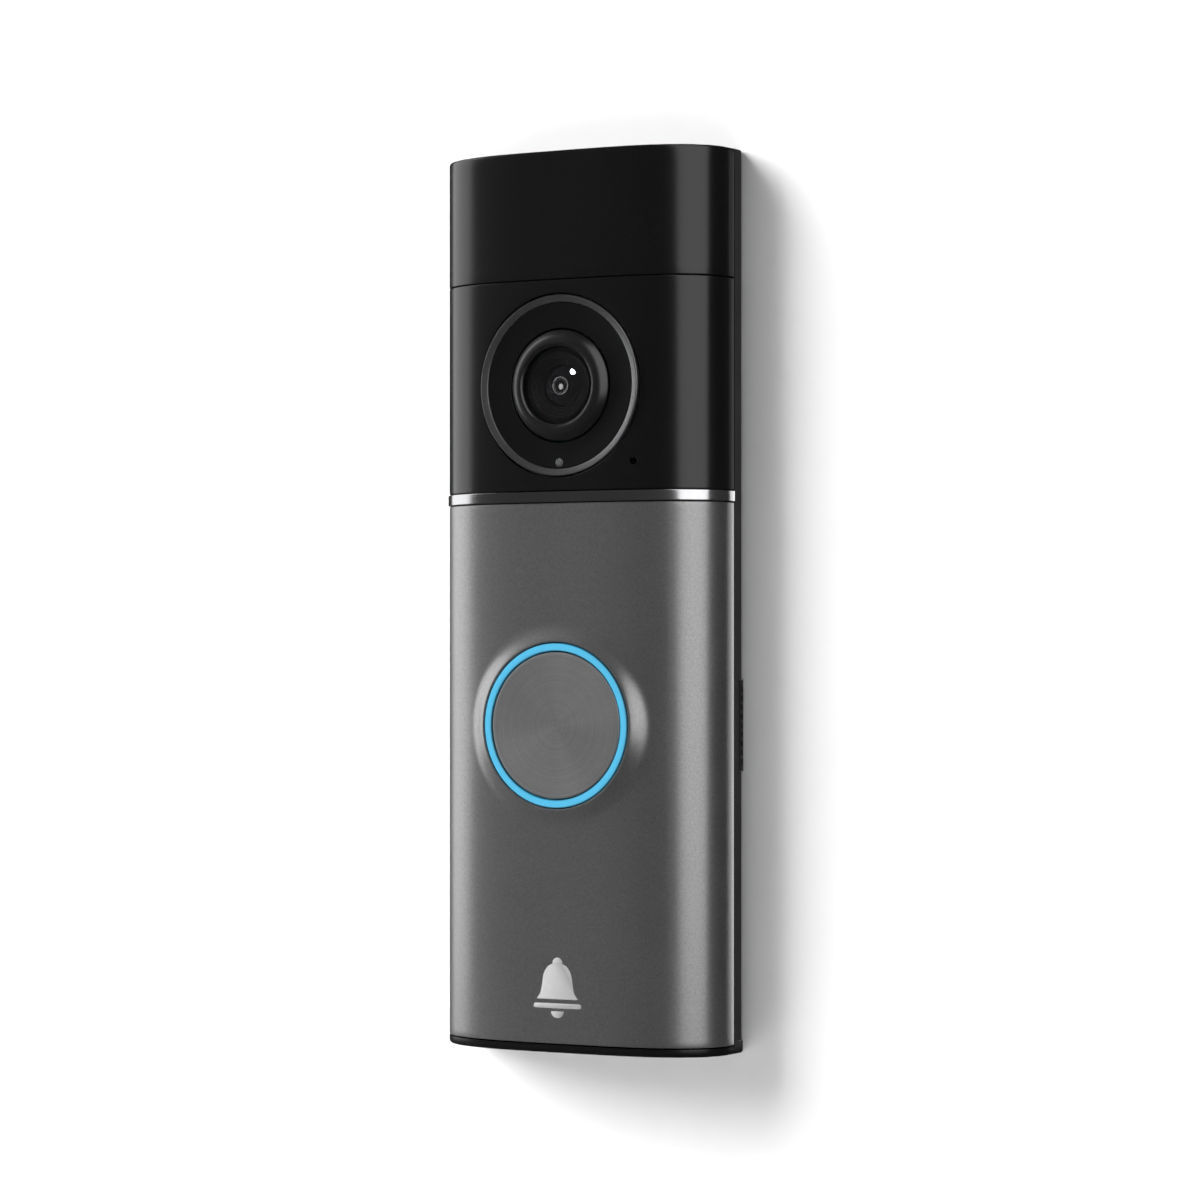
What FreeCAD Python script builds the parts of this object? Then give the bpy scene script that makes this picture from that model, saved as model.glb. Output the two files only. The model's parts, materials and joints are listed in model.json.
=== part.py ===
import FreeCAD, Part
import math
import os

# Slim wired video doorbell, modelled as it comes apart on a bench.
# Millimetres. +Z up, front of the doorbell towards -Y, the wall plane is Y = 0.
# The origin is the centre of the flat rear face that rests on the wall.
# "d" below is always the depth in front of the wall: d = -Y.

V = FreeCAD.Vector
os.makedirs("parts", exist_ok=True)

# ---------------------------------------------------------------- driving dimensions
HEIGHT = 130.0          # overall height
HALF_W = 23.01          # half width
CROWN = 13.53           # depth of the crowned front at x = 0
SIDE = 4.04             # depth of the straight flank before the crown starts
EXP_X = 3.495           # superellipse exponents of the crowned front
EXP_D = 1.987

Z_TOP = HEIGHT / 2
Z_BOT = -HEIGHT / 2
SHELL = 1.1             # wall of the front skins
CH_OFF = 1.35           # chassis outer surface, measured inwards from the outer skin
CH_WALL = 1.0
D_SEAM = 2.6            # parting line between the rear housing and the front skins
SEAM = 0.16             # visible seam width
BACK = 1.5              # rear wall thickness

Z_SEAM = 46.42          # seam between the top cover and the camera cover
BAND_0, BAND_1 = 14.34, 15.84   # chrome trim band
BAND_PROUD = 0.17
FP_BOT = -63.66         # lower end of the faceplate
CAP_TOP = -63.84        # top of the bottom cap at the front
CAP_TOP_REAR = -63.20   # and behind the parting line

LENS_Z = 31.16          # lens axis, x = 0
LENS_HOLE_R = 13.31
MIC_X, MIC_Z, MIC_R = 12.20, 20.00, 0.50

BTN_Z = -17.84          # push button axis, x = 0
RING_RO, RING_RI = 11.84, 10.75
RING_FACE = 14.22
FP_HOLE_R = 12.00
BOSS_TOP = 14.12
BTN_R = 10.55
BTN_TRAVEL = 0.50
PULL = 14.0             # travel that frees a pull-off cover

WALL_HOLE_R = 2.25      # two wall screws, No. 8 or 4 mm
WALL_Z = (55.5, -50.5)
WELL_R = 4.9

HOUSING_SCREWS = [(-16.8, 58.5), (16.8, 58.5), (-17.0, 17.6), (17.0, 17.6), (-16.8, -58.0), (16.8, -58.0)]
PCB_SCREWS = [(-16.2, 11.5), (16.2, 11.5), (-16.2, -40.5), (16.2, -40.5)]
CAM_SCREWS = [(-16.3, LENS_Z), (16.3, LENS_Z)]
TERMINAL_X = 7.5
TERMINAL_Z = -36.5

# interior planes, as depths from the wall
PCB_0, PCB_1 = 5.6, 6.6
BPCB_0, BPCB_1 = 7.4, 8.2


# ---------------------------------------------------------------- helpers
def front(x, off=0.0):
    """Depth of the crowned front skin at x (no offset)."""
    u = min(1.0, abs(x) / HALF_W)
    return SIDE + (CROWN - SIDE) * (1.0 - u ** EXP_X) ** (1.0 / EXP_D)


def half_outline(off, count=36):
    """Points (x, d) from the flank (x > 0) to the crown (x = 0), moved inwards by off."""
    pts = []
    steps = 3000
    for i in range(steps + 1):
        t = 0.5 * math.pi * i / steps
        c = max(0.0, math.cos(t)) if i < steps else 0.0
        s = math.sin(t)
        x = HALF_W * c ** (2.0 / EXP_X)
        d = SIDE + (CROWN - SIDE) * s ** (2.0 / EXP_D)
        gx = EXP_X / HALF_W * (x / HALF_W) ** (EXP_X - 1.0)
        gd = EXP_D / (CROWN - SIDE) * ((d - SIDE) / (CROWN - SIDE)) ** (EXP_D - 1.0)
        g = math.hypot(gx, gd)
        pts.append((x - off * gx / g, d - off * gd / g))
    length = [0.0]
    for a, b in zip(pts, pts[1:]):
        length.append(length[-1] + math.hypot(b[0] - a[0], b[1] - a[1]))
    out, j = [], 0
    for k in range(count + 1):
        want = length[-1] * k / count
        while j < steps - 1 and length[j + 1] < want:
            j += 1
        a, b = pts[j], pts[j + 1]
        f = (want - length[j]) / max(1e-12, length[j + 1] - length[j])
        f = min(1.0, max(0.0, f))
        out.append((a[0] + f * (b[0] - a[0]), a[1] + f * (b[1] - a[1])))
    out[0] = (HALF_W - off, SIDE)
    out[-1] = (0.0, CROWN - off)
    return out


def skin_wire(off, z, d0):
    """Closed outline at height z: the crowned front moved inwards by off, straight flanks, and a flat line at depth d0."""
    right = half_outline(off)
    pts = right + [(-x, d) for x, d in reversed(right[:-1])]
    vec = [V(x, -d, z) for x, d in pts]
    bs = Part.BSplineCurve()
    bs.interpolate(Points=vec, InitialTangent=V(0, -1, 0), FinalTangent=V(0, 1, 0))
    w = HALF_W - off
    a, b = V(-w, -SIDE, z), V(-w, -d0, z)
    c, e = V(w, -d0, z), V(w, -SIDE, z)
    return Part.Wire([bs.toShape(), Part.makeLine(a, b), Part.makeLine(b, c), Part.makeLine(c, e)])


def skin(off, z0, z1, d0):
    """Solid with that outline between two heights."""
    return Part.Face(skin_wire(off, z0, d0)).extrude(V(0, 0, z1 - z0))


def facet_skin(off, z0, z1, d0, count=26):
    """The same outline in narrow flat facets, for hidden structure."""
    right = half_outline(off, count)
    pts = [(HALF_W - off, d0)] + right + [(-x, d) for x, d in reversed(right[:-1])] + [(-(HALF_W - off), d0)]
    vec = [V(x, -d, z0) for x, d in pts]
    return Part.Face(Part.makePolygon(vec + [vec[0]])).extrude(V(0, 0, z1 - z0))


def rounded_skin(off, z0, z1, d0, r0=0.0, r1=0.0, steps=3):
    """skin() whose lower and upper rims are rounded with radii r0 and r1."""
    core = skin(off, z0 + r0, z1 - r1, d0)
    for r, edge, sign in ((r0, z0 + r0, -1), (r1, z1 - r1, 1)):
        if r <= 0:
            continue
        levels = []
        for i in range(steps + 1):
            a = 0.5 * math.pi * i / steps
            levels.append((off + r * (1 - math.cos(a)), edge + sign * r * math.sin(a)))
        for (oa, za), (ob, zb) in zip(levels, levels[1:]):
            slab = Part.makeLoft([skin_wire(oa, za, d0), skin_wire(ob, zb, d0)], True, True)
            if slab.Volume < 0:
                slab.reverse()
            core = core.fuse(slab)
    return core


def box(x0, x1, d0, d1, z0, z1):
    return Part.makeBox(x1 - x0, d1 - d0, z1 - z0, V(x0, -d1, z0))


def ycyl(r, d0, d1, x=0.0, z=0.0):
    return Part.makeCylinder(r, d1 - d0, V(x, -d0, z), V(0, -1, 0))


def tube(ro, ri, d0, d1, x=0.0, z=0.0):
    return ycyl(ro, d0, d1, x, z).cut(ycyl(ri, d0 - 1, d1 + 1, x, z))


def turned(path, x=0.0, z=0.0):
    """Solid of revolution about the line through (x, z) along Y. path is a closed list of (r, d) points;
    an entry that is itself a list is a smooth run of points."""
    edges, last, first = [], None, None
    items = list(path)
    for item in items:
        if isinstance(item, list):
            pts = [V(r, -d, 0) for r, d in item]
            if last is not None and (last - pts[0]).Length > 1e-7:
                edges.append(Part.makeLine(last, pts[0]))
            bs = Part.BSplineCurve()
            bs.interpolate(pts)
            edges.append(bs.toShape())
            if first is None:
                first = pts[0]
            last = pts[-1]
        else:
            p = V(item[0], -item[1], 0)
            if last is not None:
                edges.append(Part.makeLine(last, p))
            if first is None:
                first = p
            last = p
    if (last - first).Length > 1e-7:
        edges.append(Part.makeLine(last, first))
    face = Part.Face(Part.Wire(edges))
    solid = face.revolve(V(0, 0, 0), V(0, 1, 0), 360)
    if solid.Volume < 0:
        solid.reverse()
    solid.translate(V(x, 0, z))
    return solid


def soften(shape, radius, pick, chamfer=False):
    """Fillet or chamfer the edges that pick() accepts; the plain shape is kept where that fails."""
    edges = [e for e in shape.Edges if pick(e)]
    if not edges:
        return shape
    try:
        made = shape.makeChamfer(radius, edges) if chamfer else shape.makeFillet(radius, edges)
        if made.isValid() and made.Volume > 0.5 * shape.Volume and len(made.Solids) == len(shape.Solids):
            return made
    except Exception:
        pass
    print("edges left sharp, radius", radius)
    return shape


def at_z(z, tol=1e-3):
    return lambda e: all(abs(v.Z - z) < tol for v in e.Vertexes) and len(e.Vertexes) > 0


def is_upright(e):
    if len(e.Vertexes) != 2:
        return False
    a, b = e.Vertexes[0].Point, e.Vertexes[1].Point
    return abs(a.x - b.x) < 1e-4 and abs(a.y - b.y) < 1e-4


def group(solids):
    return Part.makeCompound(solids)


made = {}


def save(name, shape):
    if not shape.isValid():
        shape.fix(1e-4, 1e-5, 1e-3)
    solids = shape.Solids
    bad = [round(s.Volume, 3) for s in solids if s.Volume <= 1e-4 or not s.isValid()]
    keep = solids[0] if len(solids) == 1 else Part.makeCompound(solids)
    keep.exportStep("parts/%s.step" % name)
    made[name] = keep
    b = keep.BoundBox
    print("%-24s solids %2d volume %9.2f  x %6.2f %6.2f  d %5.2f %5.2f  z %6.2f %6.2f %s" % (
        name, len(solids), keep.Volume, b.XMin, b.XMax, -b.YMax, -b.YMin, b.ZMin, b.ZMax, "BAD %s" % bad if bad or not shape.isValid() else ""))


# ---------------------------------------------------------------- outer skins
EDGE = 0.35

# top cover: pulls off forwards and hides the upper wall screw
z0 = Z_SEAM + SEAM / 2
s = rounded_skin(0, z0, Z_TOP, D_SEAM + 0.05, 0, EDGE)
s = s.cut(skin(SHELL, z0 - 1, Z_TOP - SHELL, 0))
for sx in (-1, 1):   # two stiffening ribs inside the roof
    s = s.fuse(box(sx * 11 - 0.4, sx * 11 + 0.4, D_SEAM + 0.1, CROWN - 4.6, Z_TOP - SHELL - 0.01, Z_TOP - 0.5))
save("top_cover", s.removeSplitter())

# camera cover with the lens opening and the microphone port
s = skin(0, BAND_1 + SEAM, Z_SEAM - SEAM / 2, D_SEAM + 0.05).cut(skin(SHELL, BAND_1 - 1, Z_SEAM + 1, 0))
s = s.cut(ycyl(LENS_HOLE_R, 8, 16, 0, LENS_Z)).cut(ycyl(MIC_R, 8, 16, MIC_X, MIC_Z))
save("camera_cover", s)

# chrome trim band, slightly proud, with chamfered edges
s = rounded_skin(-BAND_PROUD, BAND_0, BAND_1, D_SEAM + 0.05, 0.14, 0.14, steps=1)
s = s.cut(skin(SHELL, BAND_0 - 1, BAND_1 + 1, 0))
save("trim_band", s)

# faceplate: pulls off forwards over the light ring
s = skin(0, FP_BOT, BAND_0 - SEAM, D_SEAM + 0.05).cut(skin(SHELL, FP_BOT - 1, BAND_0 + 1, 0))
flare = turned([(11.0, 12.50), (11.0, BOSS_TOP - 0.1), (11.1, BOSS_TOP), (12.25, BOSS_TOP),
                [(12.25, BOSS_TOP), (12.6, 13.90), (13.1, 13.52), (13.7, 13.10), (14.3, 12.74), (14.75, 12.52)],
                (14.75, 12.50)], 0, BTN_Z)
s = s.fuse(flare).cut(ycyl(FP_HOLE_R, 8, 20, 0, BTN_Z))

# generic bell pictogram, a thin metal inlay in the faceplate
EM_Z = -55.5


def pictogram():
    """Flat outline of a plain bell, as a prism along Y."""
    def pt(x, z):
        return V(x, 0, EM_Z + z)
    right = [(3.45, -1.75), (2.85, -0.9), (2.55, 0.4), (2.30, 1.8), (1.65, 2.9), (0.75, 3.35)]
    bs = Part.BSplineCurve()
    bs.interpolate([pt(x, z) for x, z in right])
    bl = Part.BSplineCurve()
    bl.interpolate([pt(-x, z) for x, z in reversed(right)])
    edges = [bs.toShape(),
             Part.Arc(pt(0.75, 3.35), pt(0, 4.25), pt(-0.75, 3.35)).toShape(),
             bl.toShape(),
             Part.makeLine(pt(-3.45, -1.75), pt(3.45, -1.75))]
    body = Part.Face(Part.Wire(edges)).extrude(V(0, -20, 0))
    bar = Part.Wire([Part.makeLine(pt(-3.6, -3.05), pt(3.6, -3.05)),
                     Part.Arc(pt(3.6, -3.05), pt(3.95, -2.7), pt(3.6, -2.35)).toShape(),
                     Part.makeLine(pt(3.6, -2.35), pt(-3.6, -2.35)),
                     Part.Arc(pt(-3.6, -2.35), pt(-3.95, -2.7), pt(-3.6, -3.05)).toShape()])
    bar = Part.Face(bar).extrude(V(0, -20, 0))
    clap = Part.Wire([Part.makeLine(pt(-1.05, -3.55), pt(1.05, -3.55)),
                      Part.Arc(pt(1.05, -3.55), pt(0, -4.45), pt(-1.05, -3.55)).toShape()])
    clap = Part.Face(clap).extrude(V(0, -20, 0))
    return [body, bar, clap]


marks = pictogram()
layer = skin(-0.03, EM_Z - 6, EM_Z + 6, 5).cut(skin(0.25, EM_Z - 7, EM_Z + 7, 0))
pocket = skin(-1.0, EM_Z - 6, EM_Z + 6, 5).cut(skin(0.25, EM_Z - 7, EM_Z + 7, 0))
for m in marks:
    s = s.cut(m.common(pocket))
save("faceplate", s)
save("emblem_inlay", group([m.common(layer).Solids[0] for m in marks]))

# bottom cap, held by the security screw from below
s = rounded_skin(0, Z_BOT, CAP_TOP, 0.0, 0.5, 0)
s = s.fuse(box(-HALF_W, HALF_W, 0, D_SEAM - 0.1, CAP_TOP - 0.3, CAP_TOP_REAR)).removeSplitter()
SEC_D = 8.0
s = s.cut(Part.makeCylinder(1.1, 3, V(0, -SEC_D, Z_BOT - 1), V(0, 0, 1)))
s = s.cut(Part.makeCylinder(2.05, 1.7, V(0, -SEC_D, Z_BOT - 1), V(0, 0, 1)))
save("bottom_cap", s)

sec = Part.makeCylinder(1.9, 0.6, V(0, -SEC_D, Z_BOT + 0.05), V(0, 0, 1))
sec = sec.fuse(Part.makeCylinder(0.95, 7.0, V(0, -SEC_D, Z_BOT + 0.6), V(0, 0, 1)))
star = []
for i in range(12):
    r = 1.05 if i % 2 == 0 else 0.72
    a = math.pi * i / 6
    star.append(V(r * math.cos(a), -SEC_D + r * math.sin(a), Z_BOT))
sec = sec.cut(Part.Face(Part.makePolygon(star + [star[0]])).extrude(V(0, 0, 0.45)))
save("security_screw", sec.removeSplitter())


# ---------------------------------------------------------------- rear housing
HZ0 = CAP_TOP_REAR + 0.1
s = box(-HALF_W, HALF_W, 0, D_SEAM - 0.1, HZ0, Z_TOP)
s = soften(s, 0.6, lambda e: is_upright(e) and abs(e.Vertexes[0].Y) < 1e-4)
s = soften(s, 0.3, lambda e: at_z(Z_TOP)(e) and max(abs(v.Y) for v in e.Vertexes) < D_SEAM - 0.2)
s = s.cut(box(-20.56, 20.56, BACK, 5, -62.55, 62.55))
ring = box(-20.56, 20.56, BACK - 0.01, 4.4, -62.55, 62.55).cut(box(-19.76, 19.76, 0, 6, -61.75, 61.75))
s = s.fuse(ring)
for z in WALL_Z:
    s = s.fuse(ycyl(4.6, 1, 4.6, 0, z))
s = s.fuse(box(-14, 14, 1, 5.4, -43, -30))
for x, z in HOUSING_SCREWS:
    s = s.fuse(ycyl(2.6, 1, 2.8, x, z))
s = s.cut(box(-13, 13, -1, 4.4, -42, -31))
for z in WALL_Z:
    s = s.cut(ycyl(WALL_HOLE_R, -1, 6, 0, z))
for x, z in HOUSING_SCREWS:
    s = s.cut(ycyl(1.15, -1, 6, x, z)).cut(ycyl(2.0, -1, 1.1, x, z))
for sx in (-1, 1):
    s = s.cut(ycyl(2.02, 4, 6, sx * TERMINAL_X, TERMINAL_Z))
    a, b = sorted((sx * 21.9, sx * 24.0))
    s = s.cut(box(a, b, -1, 0.95, BTN_Z - 6.6, BTN_Z + 6.6))
    a, b = sorted((sx * 17.5, sx * 21.95))
    s = s.cut(box(a, b, 0.45, 1.2, BTN_Z - 6.0, BTN_Z + 6.0))
    a, b = sorted((sx * 17.5, sx * 19.7))
    s = s.cut(box(a, b, 0.45, 1.6, BTN_Z - 6.0, BTN_Z + 6.0))
save("rear_housing", s.removeSplitter())

grilles = []
for sx in (-1, 1):
    a, b = sorted((sx * 21.98, sx * 23.11))
    g = box(a, b, 0.05, 0.90, BTN_Z - 6.55, BTN_Z + 6.55)
    for i in range(9):
        zc = BTN_Z - 5.2 + 1.3 * i
        g = g.cut(box(min(a, b) - 1, max(a, b) + 1, 0.28, 0.68, zc - 0.4, zc + 0.4))
    grilles.append(g)
save("side_speaker_grilles", group(grilles))

# perimeter seal between the housing flange and the chassis
s = box(-21.5, 21.5, D_SEAM - 0.1, 2.9, -63.0, 63.2).cut(box(-20.8, 20.8, 0, 5, -62.75, 62.75))
save("perimeter_seal", s)

# ---------------------------------------------------------------- inner chassis
CZ = 63.65
s = facet_skin(CH_OFF, -CZ, CZ, 2.9)
s = s.fuse(facet_skin(SHELL + 0.06, BAND_0 + 0.25, Z_SEAM - 0.3, 2.9))     # raised land that carries the fixed camera cover and the trim band
s = s.cut(facet_skin(CH_OFF + CH_WALL, -CZ + 1.0, CZ - 1.0, 0))
inner = facet_skin(CH_OFF + 0.5, -CZ + 0.5, CZ - 0.5, 0)     # clips bosses below the outer surface
adds = [ycyl(WELL_R + 1.0, 1.7, 14, 0, z) for z in WALL_Z]
adds += [ycyl(2.1, 2.9, 14, x, z) for x, z in HOUSING_SCREWS]
adds += [ycyl(2.0, PCB_1, 14, x, z) for x, z in PCB_SCREWS]
adds += [ycyl(1.8, 4.4, 14, x, z) for x, z in CAM_SCREWS]
adds += [tube(14.2, 13.2, 10.1, 14, 0, LENS_Z), tube(13.0, FP_HOLE_R, 10.1, 14, 0, BTN_Z)]
adds += [box(-2.6, 2.6, 5.4, 10.4, -CZ + 0.5, -57.6)]
for a in adds:
    s = s.fuse(a.common(inner))
cuts = [ycyl(WELL_R, 0, 16, 0, z) for z in WALL_Z]
cuts += [ycyl(1.0, 0, 8.6, x, z) for x, z in HOUSING_SCREWS]
cuts += [ycyl(0.8, 0, 9.4, x, z) for x, z in PCB_SCREWS]
cuts += [ycyl(0.8, 0, 7.6, x, z) for x, z in CAM_SCREWS]
cuts += [ycyl(13.2, 9, 16, 0, LENS_Z), ycyl(FP_HOLE_R, 9, 16, 0, BTN_Z), ycyl(0.6, 9, 16, MIC_X, MIC_Z)]
cuts += [Part.makeCylinder(1.0, 8.0, V(0, -SEC_D, -CZ - 1), V(0, 0, 1))]
for c in cuts:
    s = s.cut(c)
save("mid_frame", s.removeSplitter())

screws = []
for x, z in HOUSING_SCREWS:
    q = ycyl(1.8, 0.12, 1.02, x, z).fuse(ycyl(0.94, 1.0, 8.0, x, z))
    q = q.cut(box(x - 0.95, x + 0.95, 0, 0.6, z - 0.22, z + 0.22)).cut(box(x - 0.22, x + 0.22, 0, 0.6, z - 0.95, z + 0.95))
    screws.append(q.removeSplitter())
save("housing_screws", group(screws))

# ---------------------------------------------------------------- camera
s = turned([(12.03, 11.35), (11.70, 11.35), (11.70, 11.95), (12.03, 11.95), (12.03, 13.02), (12.08, 13.08), (12.86, 13.345),
            [(12.86, 13.345), (12.98, 13.375), (13.06, 13.25)],
            (13.06, 9.9), (13.9, 9.9), (13.9, 9.1), (12.03, 9.1)], 0, LENS_Z)
save("lens_bezel_ring", s)
s = turned([(8.27, 11.9), (8.27, 12.70), (8.35, 12.76), [(8.35, 12.76), (9.4, 12.785), (10.6, 12.85), (11.4, 12.93), (11.86, 13.00)], (11.95, 12.93), (11.95, 12.0), (11.0, 12.0), (11.0, 11.9)], 0, LENS_Z)
s = s.cut(ycyl(0.54, 9, 16, 0, LENS_Z - 11.1))
save("lens_dish", s)
s = turned([(5.65, 12.3), (5.65, 13.70), (5.80, 13.88), [(5.80, 13.88), (6.2, 13.90), (6.9, 13.72), (7.6, 13.30), (8.02, 12.80)],
            (8.02, 11.7), (6.6, 11.7), (6.6, 12.3)], 0, LENS_Z)
save("lens_collar", s)


def cap_arc(r0, d_rim, d_top, n=9):
    """Points of a spherical cap from the axis to its rim."""
    h = d_top - d_rim
    rad = (r0 * r0 + h * h) / (2 * h)
    c = d_top - rad
    a1 = math.asin(r0 / rad)
    return [(rad * math.sin(a1 * i / n), c + rad * math.cos(a1 * i / n)) for i in range(n + 1)]


outer_cap = cap_arc(5.6, 13.72, 15.25)
inner_cap = cap_arc(4.95, 13.25, 14.50)
s = turned([outer_cap, (5.6, 12.45), (4.95, 12.45), list(reversed(inner_cap))], 0, LENS_Z)
save("lens_dome", s)
save("light_sensor_window", ycyl(0.52, 10.95, 12.98, 0, LENS_Z - 11.1))
save("camera_seal_ring", tube(13.8, 13.25, 9.9, 10.1, 0, LENS_Z))

s = tube(11.6, 6.0, 9.3, 10.1, 0, LENS_Z)
save("ir_led_board", s)
leds = []
for a in (45, 135, 225, 315):
    x, z = 9.3 * math.cos(math.radians(a)), LENS_Z + 9.3 * math.sin(math.radians(a))
    q = box(x - 1.3, x + 1.3, 10.1, 10.9, z - 1.3, z + 1.3).fuse(ycyl(1.0, 10.8, 11.4, x, z))
    leds.append(q.removeSplitter())
save("ir_leds", group(leds))
save("ambient_light_sensor", box(-0.5, 0.5, 10.1, 10.75, LENS_Z - 11.1 - 0.45, LENS_Z - 11.1 + 0.45))

s = turned([(2.6, 5.9), (4.4, 5.9), (4.4, 9.1), (5.55, 9.1), (5.55, 12.0), (4.85, 12.0), (4.85, 13.0), (4.5, 13.05), (3.9, 12.75), (3.9, 12.60),
            (3.4, 12.40), (3.4, 12.2), (3.05, 12.1), (3.05, 8.6), (2.6, 8.6)], 0, LENS_Z)
save("camera_lens_barrel", s)
front_el = turned([cap_arc(3.0, 11.6, 12.45), (3.0, 10.9), (0.0, 10.9)], 0, LENS_Z)
mid_el = turned([cap_arc(3.0, 9.7, 10.2), (3.0, 9.2), (0.0, 9.2)], 0, LENS_Z)
rear_el = turned([cap_arc(2.55, 7.6, 8.1), (2.55, 7.0), (0.0, 7.0)], 0, LENS_Z)
save("lens_elements", group([front_el, mid_el, rear_el]))
s = box(-6.5, 6.5, 4.4, 8.8, LENS_Z - 6.5, LENS_Z + 6.5)
s = soften(s, 0.6, lambda e: len(e.Vertexes) == 2 and abs(e.Vertexes[0].X - e.Vertexes[1].X) < 1e-4 and abs(e.Vertexes[0].Z - e.Vertexes[1].Z) < 1e-4)
s = s.cut(ycyl(4.45, 4, 10, 0, LENS_Z)).cut(box(-5.2, 5.2, 4, 5.8, LENS_Z - 4.6, LENS_Z + 4.6))
save("lens_holder", s)
save("image_sensor", box(-4.6, 4.6, 4.4, 5.3, LENS_Z - 3.9, LENS_Z + 3.9))
s = box(-17.8, 17.8, 3.6, 4.4, LENS_Z - 9.2, LENS_Z + 9.2)
for x, z in CAM_SCREWS:
    s = s.cut(ycyl(1.0, 3, 5, x, z))
save("camera_board", s)
screws = []
for x, z in CAM_SCREWS:
    screws.append(ycyl(1.4, 2.8, 3.6, x, z).fuse(ycyl(0.74, 3.5, 7.0, x, z)).cut(box(x - 0.8, x + 0.8, 2.5, 3.2, z - 0.2, z + 0.2)).removeSplitter())
save("camera_screws", group(screws))


def ribbon(path, x0, x1, thick):
    """Bent flat strip. path is a list of (d, z) points along its centre; corners are left crisp."""
    pts_a, pts_b = [], []
    n = len(path)
    for i, (d, z) in enumerate(path):
        dirs = []
        if i > 0:
            dirs.append((d - path[i - 1][0], z - path[i - 1][1]))
        if i < n - 1:
            dirs.append((path[i + 1][0] - d, path[i + 1][1] - z))
        norms = []
        for a, b in dirs:
            l = math.hypot(a, b)
            norms.append((-b / l, a / l))
        nx = sum(q[0] for q in norms) / len(norms)
        nz = sum(q[1] for q in norms) / len(norms)
        l2 = nx * nx + nz * nz
        nx, nz = nx / l2, nz / l2
        pts_a.append(V(x0, -(d + nx * thick / 2), z + nz * thick / 2))
        pts_b.append(V(x0, -(d - nx * thick / 2), z - nz * thick / 2))
    loop = pts_a + list(reversed(pts_b))
    return Part.Face(Part.makePolygon(loop + [loop[0]])).extrude(V(x1 - x0, 0, 0))


# flat flex cable from the camera board to a connector on the main board
save("camera_flex_cable", ribbon([(3.4, 25.0), (3.25, 21.0), (3.5, 18.8), (4.4, 16.6), (5.0, 13.4), (5.2, 9.6)], -5.0, 5.0, 0.16))

s = tube(1.8, 0.55, 9.05, 10.15, MIC_X, MIC_Z)
save("mic_gasket", s)
save("microphone", box(MIC_X - 1.7, MIC_X + 1.7, 8.0, 9.0, MIC_Z - 1.3, MIC_Z + 1.3).cut(ycyl(0.3, 8.4, 9.5, MIC_X, MIC_Z)))
save("mic_board", box(MIC_X - 2.4, MIC_X + 2.4, 7.4, 8.0, MIC_Z - 2.1, MIC_Z + 2.1))

# ---------------------------------------------------------------- push button and light ring
s = turned([(RING_RI, 9.2), (RING_RI, RING_FACE - 0.12), (RING_RI + 0.12, RING_FACE), (RING_RO - 0.12, RING_FACE), (RING_RO, RING_FACE - 0.12),
            (RING_RO, 10.0), (12.9, 10.0), (12.9, 9.2)], 0, BTN_Z)
save("led_light_ring", s)
s = turned([(0, 13.35), (0, 14.06), [(0, 14.06), (4, 14.065), (8, 14.09), (10.2, 14.14)], (10.4, 14.15), (BTN_R, 14.02), (BTN_R, 13.35)], 0, BTN_Z)
save("button_cap", s)
s = turned([(0, 11.0), (0, 13.35), (10.3, 13.35), (10.3, 12.35), (10.0, 12.35), (10.0, 11.75), (10.3, 11.75), (10.3, 10.75), (9.3, 10.75), (9.3, 12.2), (2.2, 12.2), (1.9, 11.0)], 0, BTN_Z)
save("button_carrier", s)
save("button_seal_ring", tube(10.69, 10.02, 11.80, 12.30, 0, BTN_Z))
s = box(-2.6, 2.6, BPCB_1, 9.9, BTN_Z - 2.6, BTN_Z + 2.6).cut(ycyl(1.36, 8.45, 12, 0, BTN_Z))
save("tact_switch_body", s)
s = turned([(0, 9.05), (0, 10.94), (1.15, 10.94), (1.3, 10.8), (1.3, 9.05)], 0, BTN_Z)
save("tact_switch_plunger", s)
s = ycyl(12.6, BPCB_0, BPCB_1, 0, BTN_Z)
save("button_pcb", s)
leds = []
for i in range(12):
    a = math.radians(30 * i + 15)
    x, z = 11.3 * math.cos(a), BTN_Z + 11.3 * math.sin(a)
    q = Part.makeBox(1.0, 0.7, 1.8, V(-0.5, 0, -0.9))
    q.rotate(V(0, 0, 0), V(0, 1, 0), -math.degrees(a))
    q.translate(V(x, -BPCB_1 - 0.7, z))
    leds.append(q)
save("ring_leds", group(leds))

# ---------------------------------------------------------------- electronics
s = box(-18.3, 18.3, PCB_0, PCB_1, -43.5, 14.5)
s = soften(s, 1.5, lambda e: len(e.Vertexes) == 2 and abs(e.Vertexes[0].X - e.Vertexes[1].X) < 1e-4 and abs(e.Vertexes[0].Z - e.Vertexes[1].Z) < 1e-4)
for x, z in PCB_SCREWS:
    s = s.cut(ycyl(1.0, 5, 7, x, z))
save("main_pcb", s)
screws = []
for x, z in PCB_SCREWS:
    screws.append(ycyl(1.6, 4.7, PCB_0, x, z).fuse(ycyl(0.74, 5.5, 9.0, x, z)).cut(box(x - 0.8, x + 0.8, 4.4, 5.1, z - 0.2, z + 0.2)).removeSplitter())
save("pcb_screws", group(screws))


def can(x0, x1, z0, z1, d0, d1, wall=0.2):
    return box(x0, x1, d0, d1, z0, z1).cut(box(x0 + wall, x1 - wall, d0 - 1, d1 - wall, z0 + wall, z1 - wall))


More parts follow.
